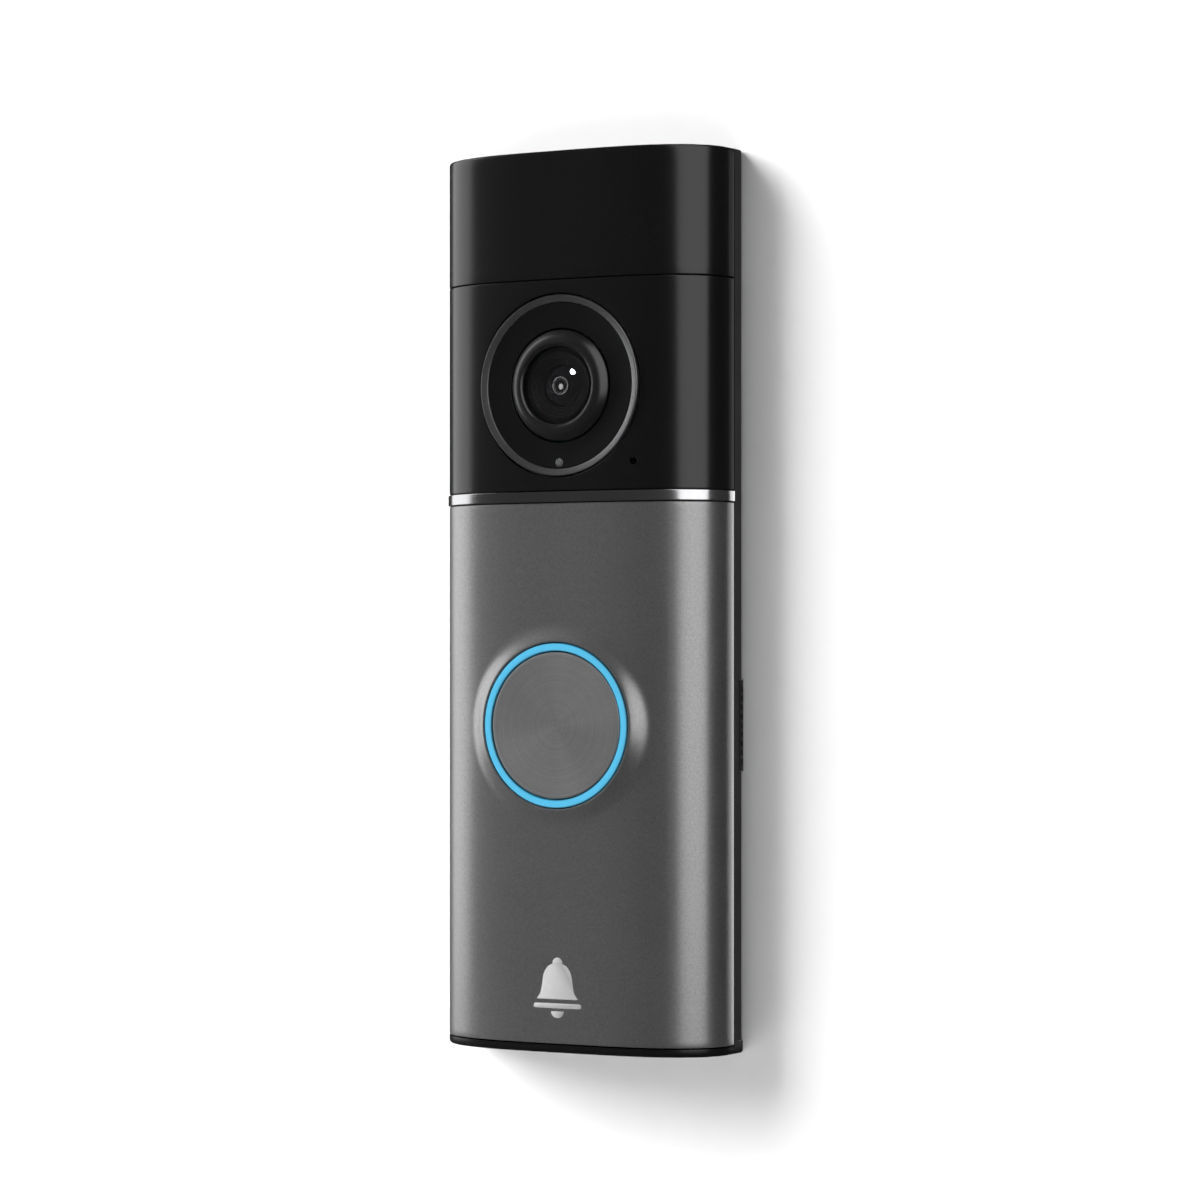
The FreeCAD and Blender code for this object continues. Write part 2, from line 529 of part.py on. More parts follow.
save("soc_shield_can", can(-12, 12, -2.5, 11.5, PCB_1, 8.7))
save("soc_chip", box(-6, 6, PCB_1, 7.7, -1.0, 10.0))
save("thermal_pad", box(-8, 8, 8.7, 9.2, -1.5, 9.5))
save("heat_spreader", box(-12, 12, 9.2, 9.8, -2.8, 11.8))
save("wifi_shield_can", can(-9, 9, -43.0, -33.0, PCB_1, 8.6))
s = group([box(-16.5, -13.3, PCB_1, 7.5, -30.0, -20.0)] + [box(13.3, 16.5, PCB_1, 7.5, -30.0, -20.0)])
save("board_connectors", s)
save("button_board_connector", box(-5.0, 5.0, PCB_1, BPCB_0, BTN_Z - 8.6, BTN_Z - 6.0))
save("wifi_antenna", group([box(-18.6, -6.4, 6.2, 6.5, 50.5, 53.5), box(6.4, 18.6, 6.2, 6.5, 50.5, 53.5)]))
save("antenna_carrier", group([box(sx - 6.4, sx + 6.4, 5.2, 6.2, 49.6, 54.4) for sx in (-12.6, 12.6)]))
save("power_inductor", soften(box(-14.5, -6.5, 2.4, PCB_0, -3.0, 5.0), 0.8, is_upright))
save("bulk_capacitors", group([box(6.0, 13.3, 2.6, PCB_0, -3.0 + 4.8 * i, 1.2 + 4.8 * i) for i in range(2)] + [box(-4.0, 3.3, 2.6, PCB_0, -3.4, 0.8)]))

# loudspeaker, firing towards the side ports at the rear edge
s = turned([(9.0, 2.1), (9.95, 2.1), (9.95, 3.1), (8.0, 4.2), (6.1, 4.2), (6.1, 5.35), (0, 5.35), (0, 4.0), (5.6, 4.0), (7.6, 3.95), (9.0, 3.0)], 0, BTN_Z)
save("speaker_driver", s)
s = turned([(0, 2.95), (0, 3.15), (3.4, 3.15), (8.7, 2.35), (8.97, 2.35), (8.97, 2.15), (8.6, 2.15), (3.3, 2.95)], 0, BTN_Z)
save("speaker_cone", s)
s = box(-19.4, 19.4, 2.0, 4.1, -29.2, -6.6).cut(box(-18.6, 18.6, 1, 3.2, -28.4, -7.4)).cut(ycyl(10.05, 1, 6, 0, BTN_Z))
save("speaker_bracket", s)
s = box(-19.4, 19.4, BACK, 2.0, -29.2, -6.6).cut(box(-18.6, 18.6, 1, 3.2, -28.4, -7.4))
save("speaker_gasket", s)

# wiring terminals in the rear recess
posts, scr, wash = [], [], []
for sx in (-1, 1):
    x = sx * TERMINAL_X
    posts.append(tube(2.0, 1.3, 4.4, PCB_0, x, TERMINAL_Z))
    q = ycyl(2.9, 1.2, 2.7, x, TERMINAL_Z).fuse(ycyl(1.26, 2.6, 5.3, x, TERMINAL_Z))
    q = q.cut(box(x - 3.2, x + 3.2, 0.5, 1.9, TERMINAL_Z - 0.4, TERMINAL_Z + 0.4)).cut(box(x - 0.4, x + 0.4, 0.5, 1.9, TERMINAL_Z - 1.8, TERMINAL_Z + 1.8))
    scr.append(q.removeSplitter())
    w = box(x - 3.1, x + 3.1, 2.72, 3.5, TERMINAL_Z - 3.1, TERMINAL_Z + 3.1).cut(ycyl(1.4, 2, 5, x, TERMINAL_Z))
    wash.append(w)
save("terminal_posts", group(posts))
save("terminal_screws", group(scr))
save("wire_clamp_washers", group(wash))

print(len(made), "nodes")
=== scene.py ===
import json
import math

import bmesh
import bpy
import numpy as np
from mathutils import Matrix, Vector

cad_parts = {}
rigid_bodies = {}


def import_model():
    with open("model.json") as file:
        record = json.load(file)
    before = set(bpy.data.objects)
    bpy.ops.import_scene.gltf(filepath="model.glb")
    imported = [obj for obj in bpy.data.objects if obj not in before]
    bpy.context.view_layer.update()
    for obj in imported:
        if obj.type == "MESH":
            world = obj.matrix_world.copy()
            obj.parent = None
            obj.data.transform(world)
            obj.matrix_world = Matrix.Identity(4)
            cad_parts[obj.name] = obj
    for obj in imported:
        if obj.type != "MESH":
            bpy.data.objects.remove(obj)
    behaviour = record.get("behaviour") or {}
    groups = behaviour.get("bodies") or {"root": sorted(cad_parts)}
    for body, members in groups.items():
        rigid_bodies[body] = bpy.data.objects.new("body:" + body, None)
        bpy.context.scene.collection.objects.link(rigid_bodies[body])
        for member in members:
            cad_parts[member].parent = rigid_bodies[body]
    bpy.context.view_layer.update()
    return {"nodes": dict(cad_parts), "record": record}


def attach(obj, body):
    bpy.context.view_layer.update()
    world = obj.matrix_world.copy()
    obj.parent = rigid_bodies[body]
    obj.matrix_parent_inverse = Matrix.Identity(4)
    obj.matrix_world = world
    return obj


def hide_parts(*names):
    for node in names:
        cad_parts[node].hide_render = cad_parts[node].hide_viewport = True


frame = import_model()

MM = 0.001
NODES = frame["nodes"]

# ------------------------------------------------------------------ driving sizes, millimetres (the same as the design's)
HALF_W, CROWN, SIDE, EXP_X, EXP_D = 23.01, 13.53, 4.04, 3.495, 1.987
Z_TOP, Z_BOT = 65.0, -65.0
SHELL, D_SKIN = 1.1, 2.65
Z_SEAM, SEAM = 46.42, 0.16
BAND_0, BAND_1, BAND_PROUD = 14.34, 15.84, 0.17
FP_BOT, CAP_TOP, CAP_TOP_REAR = -63.66, -63.84, -63.20
LENS_Z, BTN_Z = 31.16, -17.84
EM_Z = -55.5

# ------------------------------------------------------------------ crowned section, as a function of the arc length from the centre line
_t = np.linspace(0.0, 1.0, 24001)
_t = 0.5 * math.pi * (1 - _t ** 1.6)                # from the crown (x = 0) to the flank
_c, _s = np.clip(np.cos(_t), 0, 1), np.clip(np.sin(_t), 0, 1)
_x = HALF_W * _c ** (2 / EXP_X)
_d = SIDE + (CROWN - SIDE) * _s ** (2 / EXP_D)
_x[0], _d[0], _x[-1], _d[-1] = 0.0, CROWN, HALF_W, SIDE
_gx = EXP_X / HALF_W * (_x / HALF_W) ** (EXP_X - 1)
_gd = EXP_D / (CROWN - SIDE) * (np.clip(_d - SIDE, 0, None) / (CROWN - SIDE)) ** (EXP_D - 1)
_g = np.hypot(_gx, _gd)
_nx, _nd = _gx / _g, _gd / _g
_arc = np.concatenate([[0], np.cumsum(np.hypot(np.diff(_x), np.diff(_d)))])
S_SIDE = float(_arc[-1])
_x = np.append(_x, HALF_W); _d = np.append(_d, SIDE - 6.0)
_nx = np.append(_nx, 1.0); _nd = np.append(_nd, 0.0)
_arc = np.append(_arc, S_SIDE + 6.0)


def s_of_x(x):
    x = np.asarray(x, float)
    return np.sign(x) * np.interp(np.abs(x), _x[:-1], _arc[:-1])


def s_of_d(d):
    """Arc length at depth d on the straight flank."""
    return S_SIDE + (SIDE - d)


def lift(s, z, off, bump=None):
    """Points in metres for arc length s, height z and inward offset off, all in millimetres."""
    s, z, off = (np.asarray(v, float) for v in (s, z, off))
    a = np.abs(s)
    sx = np.sign(s)
    x = np.interp(a, _arc, _x) - off * np.interp(a, _arc, _nx)
    d = np.interp(a, _arc, _d) - off * np.interp(a, _arc, _nd)
    x = sx * x
    if bump is not None:
        d = d + bump(x, z, d)
    return np.stack([x * MM, -d * MM, z * MM], -1)


# ------------------------------------------------------------------ mesh helpers
def new_object(name, verts, faces, smooth_angle=32.0, body=None):
    me = bpy.data.meshes.new(name)
    me.from_pydata([tuple(map(float, v)) for v in verts], [], [tuple(int(i) for i in f) for f in faces])
    me.validate(clean_customdata=False)
    bm = bmesh.new()
    bm.from_mesh(me)
    bmesh.ops.remove_doubles(bm, verts=bm.verts, dist=2e-7)
    bmesh.ops.dissolve_degenerate(bm, edges=bm.edges, dist=1e-7)
    bmesh.ops.recalc_face_normals(bm, faces=bm.faces)
    bm.normal_update()
    lim = math.radians(smooth_angle)
    for f in bm.faces:
        f.smooth = True
    for e in bm.edges:
        e.smooth = not (len(e.link_faces) == 2 and e.calc_face_angle(0.0) > lim)
    bm.to_mesh(me)
    bm.free()
    ob = bpy.data.objects.new(name, me)
    bpy.context.scene.collection.objects.link(ob)
    if body:
        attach(ob, body)
    return ob


def shell_between(outer, inner, faces):
    """Closed shell from an outer and an inner sheet with the same faces."""
    n = len(outer)
    verts = np.vstack([outer, inner])
    out = [tuple(f) for f in faces] + [tuple(i + n for i in reversed(f)) for f in faces]
    seen = {}
    for f in faces:
        for a, b in zip(f, f[1:] + f[:1]):
            seen[(a, b)] = True
    for (a, b) in list(seen):
        if (b, a) not in seen:
            out.append((b, a, a + n, b + n))
    return verts, out


def lathe(name, path, cx, cz, body, seg=192, smooth_angle=32.0, closed=True):
    """Ring of revolution about the line x = cx, z = cz. path is a closed list of (r, d) in millimetres."""
    pts = [p for p in path]
    verts, faces, rings = [], [], []
    for r, d in pts:
        if r < 1e-6:
            rings.append([len(verts)])
            verts.append((cx * MM, -d * MM, cz * MM))
        else:
            base = len(verts)
            for i in range(seg):
                a = 2 * math.pi * i / seg
                verts.append(((cx + r * math.cos(a)) * MM, -d * MM, (cz + r * math.sin(a)) * MM))
            rings.append(list(range(base, base + seg)))
    pairs = list(zip(rings, rings[1:] + rings[:1])) if closed else list(zip(rings, rings[1:]))
    for a, b in pairs:
        if len(a) == 1 and len(b) == 1:
            continue
        for i in range(seg):
            j = (i + 1) % seg
            if len(a) == 1:
                faces.append((a[0], b[j], b[i]))
            elif len(b) == 1:
                faces.append((a[i], a[j], b[0]))
            else:
                faces.append((a[i], a[j], b[j], b[i]))
    return new_object(name, verts, faces, smooth_angle, body)


def arc_pts(p0, p1, p2, n=8):
    """Quadratic curve through control points, without its first point."""
    out = []
    for i in range(1, n + 1):
        t = i / n
        out.append(((1 - t) ** 2 * p0[0] + 2 * t * (1 - t) * p1[0] + t * t * p2[0],
                    (1 - t) ** 2 * p0[1] + 2 * t * (1 - t) * p1[1] + t * t * p2[1]))
    return out


def rim_levels(z_edge, r, sign, steps=4):
    """(z, off) rows from the flat skin to the rim."""
    rows = []
    for i in range(steps + 1):
        a = 0.5 * math.pi * i / steps
        rows.append((z_edge - sign * r + sign * r * math.sin(a), r * (1 - math.cos(a))))
    return rows


class Sheet:
    """A quad sheet in (s, z) with a per-vertex inward offset."""

    def __init__(self):
        self.s, self.z, self.off, self.faces, self.key = [], [], [], [], {}

    def v(self, s, z, off=0.0):
        k = (round(float(s), 6), round(float(z), 6))
        if k not in self.key:
            self.key[k] = len(self.s)
            self.s.append(float(s)); self.z.append(float(z)); self.off.append(float(off))
        return self.key[k]


def skin_sheet(z_rows, cols, hole=None):
    """z_rows and cols are lists of (value, off). hole = (zc, rings, r_circle, half_w, half_h, n, morph_steps); rings is a list of (r, off)."""
    sh = Sheet()
    if hole:
        zc, rings, rc, hw, hh, n, morph = hole
        xs = np.linspace(-hw, hw, n + 1)
        hcols = [(float(s), 0.0) for s in s_of_x(xs)]
        smax = hcols[-1][0]
        cols = [c for c in cols if c[0] < -smax - 1e-6] + hcols + [c for c in cols if c[0] > smax + 1e-6]
        zs = np.linspace(zc - hh, zc + hh, n + 1)
        hrows = [(float(z), 0.0) for z in zs]
        z_rows = [r for r in z_rows if r[0] < zs[0] - 1e-6] + hrows + [r for r in z_rows if r[0] > zs[-1] + 1e-6]
    for (za, oa), (zb, ob) in zip(z_rows, z_rows[1:]):
        for (sa, pa), (sb, pb) in zip(cols, cols[1:]):
            if hole and sa > -smax - 1e-6 and sb < smax + 1e-6 and za > zs[0] - 1e-6 and zb < zs[-1] + 1e-6:
                continue
            sh.faces.append([sh.v(sa, za, max(oa, pa)), sh.v(sb, za, max(oa, pb)), sh.v(sb, zb, max(ob, pb)), sh.v(sa, zb, max(ob, pa))])
    if hole:
        border = [(xs[i], zs[0]) for i in range(n)] + [(xs[n], zs[i]) for i in range(n)] + \
                 [(xs[n - i], zs[n]) for i in range(n)] + [(xs[0], zs[n - i]) for i in range(n)]
        border = np.array(border)
        ang = np.arctan2(border[:, 1] - zc, border[:, 0])
        levels = [(r, o, None) for r, o in rings] + [(rc, 0.0, k / morph) for k in range(1, morph + 1)]
        loops = []
        for r, o, m in levels:
            px, pz = r * np.cos(ang), zc + r * np.sin(ang)
            if m is not None:
                w = m
                px, pz = (1 - w) * px + w * border[:, 0], (1 - w) * pz + w * border[:, 1]
            ss = s_of_x(px)
            loops.append([sh.v(a, b, o) for a, b in zip(ss, pz)])
        for la, lb in zip(loops, loops[1:]):
            for i in range(len(la)):
                j = (i + 1) % len(la)
                sh.faces.append([la[j], la[i], lb[i], lb[j]])
    return sh


def punch(sh, x0, z0, r_cut, rings):
    """Opens a round hole at (x0, z0): faces nearer than r_cut go, and rings (r, off) from the outside in take their place."""
    s0 = float(s_of_x(x0))
    s, z = np.array(sh.s), np.array(sh.z)
    keep, gone = [], []
    for f in sh.faces:
        cs, cz = s[f].mean() - s0, z[f].mean() - z0
        (gone if math.hypot(cs, cz) < r_cut else keep).append(f)
    edges = set()
    for f in gone:
        for a, b in zip(f, f[1:] + f[:1]):
            edges.add((a, b))
    nxt = {a: b for a, b in edges if (b, a) not in edges}
    start = next(iter(nxt)); loop = [start]
    while nxt[loop[-1]] != start:
        loop.append(nxt[loop[-1]])
    sh.faces = keep
    prev = loop
    ang = [math.atan2(sh.z[i] - z0, sh.s[i] - s0) for i in loop]
    for r, off in rings:
        ring = [sh.v(s0 + r * math.cos(a), z0 + r * math.sin(a), off) for a in ang]
        for i in range(len(loop)):
            j = (i + 1) % len(loop)
            sh.faces.append([prev[i], prev[j], ring[j], ring[i]])
        prev = ring
    return sh


def flank_cols(d0, r=0.10, n=70):
    s1 = s_of_d(d0)
    core = [(float(v), 0.0) for v in np.linspace(-(s1 - r), s1 - r, n + 1)]
    edge = []
    for i in range(1, 4):
        a = 0.5 * math.pi * i / 3
        edge.append((s1 - r + r * math.sin(a), r * (1 - math.cos(a))))
    return [(-v, o) for v, o in reversed(edge)] + core + edge


def finish_skin(name, sh, thick, body, bump=None, inner_bump=None):
    s, z, off = np.array(sh.s), np.array(sh.z), np.array(sh.off)
    outer = lift(s, z, off, bump)
    inner = lift(s, z, np.full_like(off, thick), inner_bump)
    verts, faces = shell_between(outer, inner, sh.faces)
    return new_object(name, verts, faces, 34.0, body)


def rows_between(z0, z1, r0, r1, step):
    low = [(z, o) for z, o in reversed(rim_levels(z0, r0, -1))]
    high = rim_levels(z1, r1, 1)
    n = max(1, int(round((z1 - r1 - z0 - r0) / step)))
    mid = [(float(v), 0.0) for v in np.linspace(z0 + r0, z1 - r1, n + 1)][1:-1]
    return low + mid + high


# ------------------------------------------------------------------ outer pieces
def ring_list(r_hole, r_edge, r_end, n):
    """Rings from the hole's rounded edge outwards."""
    out = []
    for i in range(4, -1, -1):
        a = 0.5 * math.pi * i / 4
        out.append((r_hole + r_edge * (1 - math.sin(a)), r_edge * (1 - math.cos(a))))
    for v in np.linspace(r_hole + r_edge, r_end, n + 1)[1:]:
        out.append((float(v), 0.0))
    return out


# camera cover
sh = skin_sheet(rows_between(BAND_1 + SEAM, Z_SEAM - SEAM / 2, 0.10, 0.10, 0.6), flank_cols(D_SKIN),
                (LENS_Z, ring_list(13.31, 0.12, 13.85, 2), 13.85, 16.0, 14.85, 88, 22))
punch(sh, 12.20, 20.00, 1.05, [(0.80, 0.0), (0.58, 0.0), (0.53, 0.02), (0.505, 0.07)])
camera_cover = finish_skin("camera_cover_skin", sh, SHELL, "housing")
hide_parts("camera_cover")

# faceplate with the flared boss round the light ring
BOSS_TOP, BOSS_R0, BOSS_R1 = 14.12, 12.25, 15.2


def boss(x, z, d):
    r = np.hypot(x, z - BTN_Z)
    t = np.clip((r - BOSS_R0) / (BOSS_R1 - BOSS_R0), 0, 1)
    w = (1 - t) ** 2.6 * (1 + 1.2 * t)
    w = np.where(r <= BOSS_R0, 1.0, w)
    near = np.abs(x) < 20
    return np.where(near, w * (BOSS_TOP - d), 0.0)


rings = [(12.0, 0.20), (12.02, 0.09), (12.07, 0.03), (12.15, 0.0)] + [(float(v), 0.0) for v in np.linspace(12.25, 15.6, 24)]
sh = skin_sheet(rows_between(FP_BOT, BAND_0 - SEAM, 0.12, 0.12, 0.8), flank_cols(D_SKIN), (BTN_Z, rings, 15.6, 17.0, 17.0, 72, 5))
faceplate = finish_skin("faceplate_skin", sh, SHELL, "faceplate",
                        bump=lambda x, z, d: np.where(np.hypot(x, z - BTN_Z) < 12.2, 0, 0) + boss(x, z, d) * 1.0 -
                        np.where(np.hypot(x, z - BTN_Z) < 12.14, np.interp(np.hypot(x, z - BTN_Z), [12.0, 12.02, 12.07, 12.15], [0.20, 0.09, 0.03, 0.0]), 0.0),
                        inner_bump=None)
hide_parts("faceplate")

# chrome trim band
sh = skin_sheet([(z, o) for z, o in [(BAND_0, 0.05), (BAND_0 + 0.015, 0.022), (BAND_0 + 0.05, 0.004), (BAND_0 + 0.12, 0.0), (BAND_0 + 0.45, -0.003), (15.09, -0.005),
                                     (BAND_1 - 0.45, -0.003), (BAND_1 - 0.12, 0.0), (BAND_1 - 0.05, 0.004), (BAND_1 - 0.015, 0.022), (BAND_1, 0.05)]],
                flank_cols(D_SKIN, 0.12, 130))
sh.off = [o - BAND_PROUD + 0.006 for o in sh.off]
trim = finish_skin("trim_band_strip", sh, SHELL, "housing")
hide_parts("trim_band")


# top cover, with its roof
def capped_skin(name, rows, cols, thick, body, roof_z_inner):
    sh = skin_sheet(rows, cols)
    last_z, last_o = rows[-1]
    top = [sh.v(c[0], last_z) for c in cols]
    # a narrow flat ring keeps the roof's shading flat
    extra = 0.25
    ring = []
    for c, i in zip(cols, top):
        ring.append(len(sh.s))
        sh.s.append(c[0]); sh.z.append(last_z); sh.off.append(max(last_o, c[1]) + extra)
    for a, b, a2, b2 in zip(top, top[1:], ring, ring[1:]):
        sh.faces.append([a, b, b2, a2])
    s, z, off = np.array(sh.s), np.array(sh.z), np.array(sh.off)
    outer = lift(s, z, off)
    inner = lift(s, np.minimum(z, roof_z_inner), np.maximum(off, thick))
    faces = [list(f) for f in sh.faces] + [list(ring)]
    verts, faces = shell_between(outer, inner, faces)
    return new_object(name, verts, faces, 34.0, body)


top_cover = capped_skin("top_cover_skin", rows_between(Z_SEAM + SEAM / 2, Z_TOP, 0.10, 0.42, 1.2), flank_cols(D_SKIN, 0.10, 140), SHELL, "top_cover", Z_TOP - SHELL)
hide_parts("top_cover")


# bottom cap: a solid end plate with a rounded lower rim and a taller rear part
def bottom_cap():
    s_rear = s_of_d(0.0)
    s_step = s_of_d(2.5)
    cols = [float(v) for v in np.linspace(-s_step, s_step, 141)]
    cols = [-s_rear, -(s_rear + s_step) / 2] + cols + [(s_rear + s_step) / 2, s_rear]
    r = 0.55
    rows = []
    for i in range(6):
        a = 0.5 * math.pi * i / 5
        rows.append((Z_BOT + r - r * math.sin(a), r * (1 - math.cos(a))))
    verts, faces = [], []
    grid = []
    tops = []
    for s in cols:
        rear = abs(s) > s_step + 1e-6
        tops.append(CAP_TOP_REAR if rear else CAP_TOP)
    def add(p):
        verts.append(tuple(p)); return len(verts) - 1
    for z, o in rows:
        grid.append([add(p) for p in lift(np.array(cols), np.full(len(cols), z), np.full(len(cols), o))])
    n = len(cols)
    front = range(2, n - 2)
    # outer wall: front part up to CAP_TOP, rear parts up to CAP_TOP_REAR
    tf = {i: add(lift(cols[i], CAP_TOP, 0.0)) for i in front}
    tr = {i: add(lift(cols[i], CAP_TOP_REAR, 0.0)) for i in (0, 1, 2, n - 3, n - 2, n - 1)}
    for ra, rb in zip(grid, grid[1:]):
        for i in range(n - 1):
            faces.append((ra[i], ra[i + 1], rb[i + 1], rb[i]))
    for i in range(2, n - 3):
        faces.append((grid[0][i + 1], grid[0][i], tf[i], tf[i + 1]))
    for i in (0, n - 2):
        faces.append((grid[0][i + 1], grid[0][i], tr[i], tr[i + 1]))
    faces.append((grid[0][2], grid[0][1], tr[1], tr[2], tf[2]))
    faces.append((grid[0][n - 2], grid[0][n - 3], tf[n - 3], tr[n - 3], tr[n - 2]))
    # tops and the step between them
    faces.append(tuple(tf[i] for i in front))
    faces.append((tf[2], tf[n - 3], tr[n - 3], tr[2]))
    faces.append((tr[0], tr[1], tr[2], tr[n - 3], tr[n - 2], tr[n - 1]))
    # flat underside with a narrow ring
    last = grid[-1]
    ring = [add(p) for p in lift(np.array(cols), np.full(n, Z_BOT), np.full(n, r + 0.25))]
    for i in range(n - 1):
        faces.append((last[i], last[i + 1], ring[i + 1], ring[i]))
    faces.append(tuple(ring))
    # back
    back = [tr[0]] + [g[0] for g in grid] + [ring[0]] + [ring[-1]] + [g[-1] for g in reversed(grid)] + [tr[n - 1]]
    faces.append(tuple(back))
    return new_object("bottom_cap_moulding", verts, faces, 34.0, "housing")


cap = bottom_cap()
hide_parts("bottom_cap")

# ------------------------------------------------------------------ lens assembly
p = [(13.06, 9.9), (13.9, 9.9), (13.9, 9.1), (12.03, 9.1), (12.03, 13.02)]
p += arc_pts((12.03, 13.02), (12.035, 13.055), (12.07, 13.07), 3)
p += [(12.3, 13.15), (12.6, 13.255), (12.86, 13.345)]
p += arc_pts((12.86, 13.345), (13.04, 13.405), (13.06, 13.22), 6)
bezel = lathe("lens_outer_ring", p, 0, LENS_Z, "housing", 256)
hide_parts("lens_bezel_ring")

p = [(8.27, 12.0), (8.27, 12.68)] + arc_pts((8.27, 12.68), (8.27, 12.75), (8.36, 12.76), 4)
p += arc_pts((8.36, 12.76), (10.3, 12.79), (11.85, 13.00), 16)
p += arc_pts((11.85, 13.00), (11.94, 13.01), (11.95, 12.93), 3) + [(11.95, 12.0)]
dish = lathe("lens_dark_dish", p, 0, LENS_Z, "housing", 256)
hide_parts("lens_dish")

p = [(8.02, 11.7), (8.02, 12.70)] + arc_pts((8.02, 12.70), (8.00, 12.80), (7.93, 12.90), 3)
p += arc_pts((7.93, 12.90), (7.2, 13.86), (6.25, 13.90), 14)
p += arc_pts((6.25, 13.90), (6.02, 13.90), (5.95, 13.80), 4)
p += arc_pts((5.95, 13.80), (5.86, 13.66), (5.66, 13.62), 4) + [(5.66, 12.3), (6.6, 12.3), (6.6, 11.7)]
collar = lathe("lens_collar_ring", p, 0, LENS_Z, "housing", 256)
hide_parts("lens_collar")


def cap_curve(r0, d_rim, d_top, n=28):
    h = d_top - d_rim
    rad = (r0 * r0 + h * h) / (2 * h)
    c = d_top - rad
    a1 = math.asin(r0 / rad)
    return [(rad * math.sin(a1 * i / n), c + rad * math.cos(a1 * i / n)) for i in range(n + 1)]


p = cap_curve(5.60, 13.60, 15.25) + [(5.60, 12.45), (5.35, 12.45)] + list(reversed(cap_curve(5.35, 13.47, 15.02)))
dome = lathe("lens_front_glass", p, 0, LENS_Z, "housing", 224, 50)
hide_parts("lens_dome")

# stepped barrel with its baffle rings, and the glass inside it
p = [(2.6, 5.9), (4.4, 5.9), (4.4, 9.1), (5.55, 9.1), (5.55, 12.0), (4.88, 12.0), (4.88, 12.95)]
p += arc_pts((4.88, 12.95), (4.86, 13.04), (4.76, 13.05), 3) + [(4.55, 13.05), (4.50, 12.92), (4.28, 12.92), (4.24, 12.80), (4.02, 12.80), (3.98, 12.66), (3.74, 12.66), (3.70, 12.50), (3.46, 12.50), (3.42, 12.34), (3.16, 12.34), (3.08, 12.20), (3.05, 8.6), (2.6, 8.6)]
barrel = lathe("lens_barrel_baffled", p, 0, LENS_Z, "housing", 192, 20)
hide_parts("camera_lens_barrel")
p = cap_curve(0.90, 12.70, 12.775, 10) + [(0.95, 12.66), (1.02, 12.66), (1.10, 12.71), (1.30, 12.715), (1.46, 12.66), (1.58, 12.52), (2.2, 12.36), (2.9, 12.08), (3.0, 12.0), (3.0, 10.9), (0.0, 10.9)]
el1 = lathe("lens_element_front", p, 0, LENS_Z, "housing", 128, 50)
p = cap_curve(3.0, 9.7, 10.2, 12) + [(3.0, 9.2), (0.0, 9.2)]
el2 = lathe("lens_element_middle", p, 0, LENS_Z, "housing", 96, 50)
p = cap_curve(2.55, 7.6, 8.1, 12) + [(2.55, 7.0), (0.0, 7.0)]
el3 = lathe("lens_element_rear", p, 0, LENS_Z, "housing", 96, 50)
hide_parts("lens_elements")
p = [(0, 12.9), (0, 12.985), (0.20, 12.98), (0.34, 12.965), (0.42, 12.93), (0.455, 12.935), (0.50, 12.99), (0.56, 13.00), (0.60, 12.98), (0.62, 12.92), (0.62, 12.0), (0.5, 12.0), (0.5, 11.0), (0, 11.0)]
window = lathe("light_sensor_dot", p, 0, LENS_Z - 11.1, "housing", 64)
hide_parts("light_sensor_window")

# ------------------------------------------------------------------ button, light ring
p = [(10.75, 9.2), (10.75, 14.08)] + arc_pts((10.75, 14.08), (10.76, 14.20), (10.88, 14.21), 4)
p += [(11.3, 14.22)] + [(11.70, 14.21)] + arc_pts((11.70, 14.21), (11.83, 14.20), (11.84, 14.08), 4) + [(11.84, 10.0), (12.9, 10.0), (12.9, 9.2)]
ring = lathe("light_ring_diffuser", p, 0, BTN_Z, "housing", 256)
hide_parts("led_light_ring")

p = [(0, 13.35), (0, 14.05)] + [(r, 14.05 + 0.0011 * r * r * 0.8) for r in np.linspace(0.5, 10.2, 24)]
p += arc_pts((10.2, 14.05 + 0.0011 * 10.2 * 10.2 * 0.8), (10.46, 14.15), (10.55, 14.02), 6) + [(10.55, 13.35)]
button = lathe("button_disc", p, 0, BTN_Z, "button", 256, 40)
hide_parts("button_cap")


# ------------------------------------------------------------------ bell pictogram, a thin bright inlay that follows the crown
def spline(points, n=10):
    out = []
    pts = [points[0]] + list(points) + [points[-1]]
    for i in range(1, len(pts) - 2):
        p0, p1, p2, p3 = (np.array(q, float) for q in pts[i - 1:i + 3])
        for k in range(n):
            t = k / n
            out.append(0.5 * ((2 * p1) + (-p0 + p2) * t + (2 * p0 - 5 * p1 + 4 * p2 - p3) * t * t + (-p0 + 3 * p1 - 3 * p2 + p3) * t ** 3))
    out.append(np.array(points[-1], float))
    return [tuple(q) for q in out]


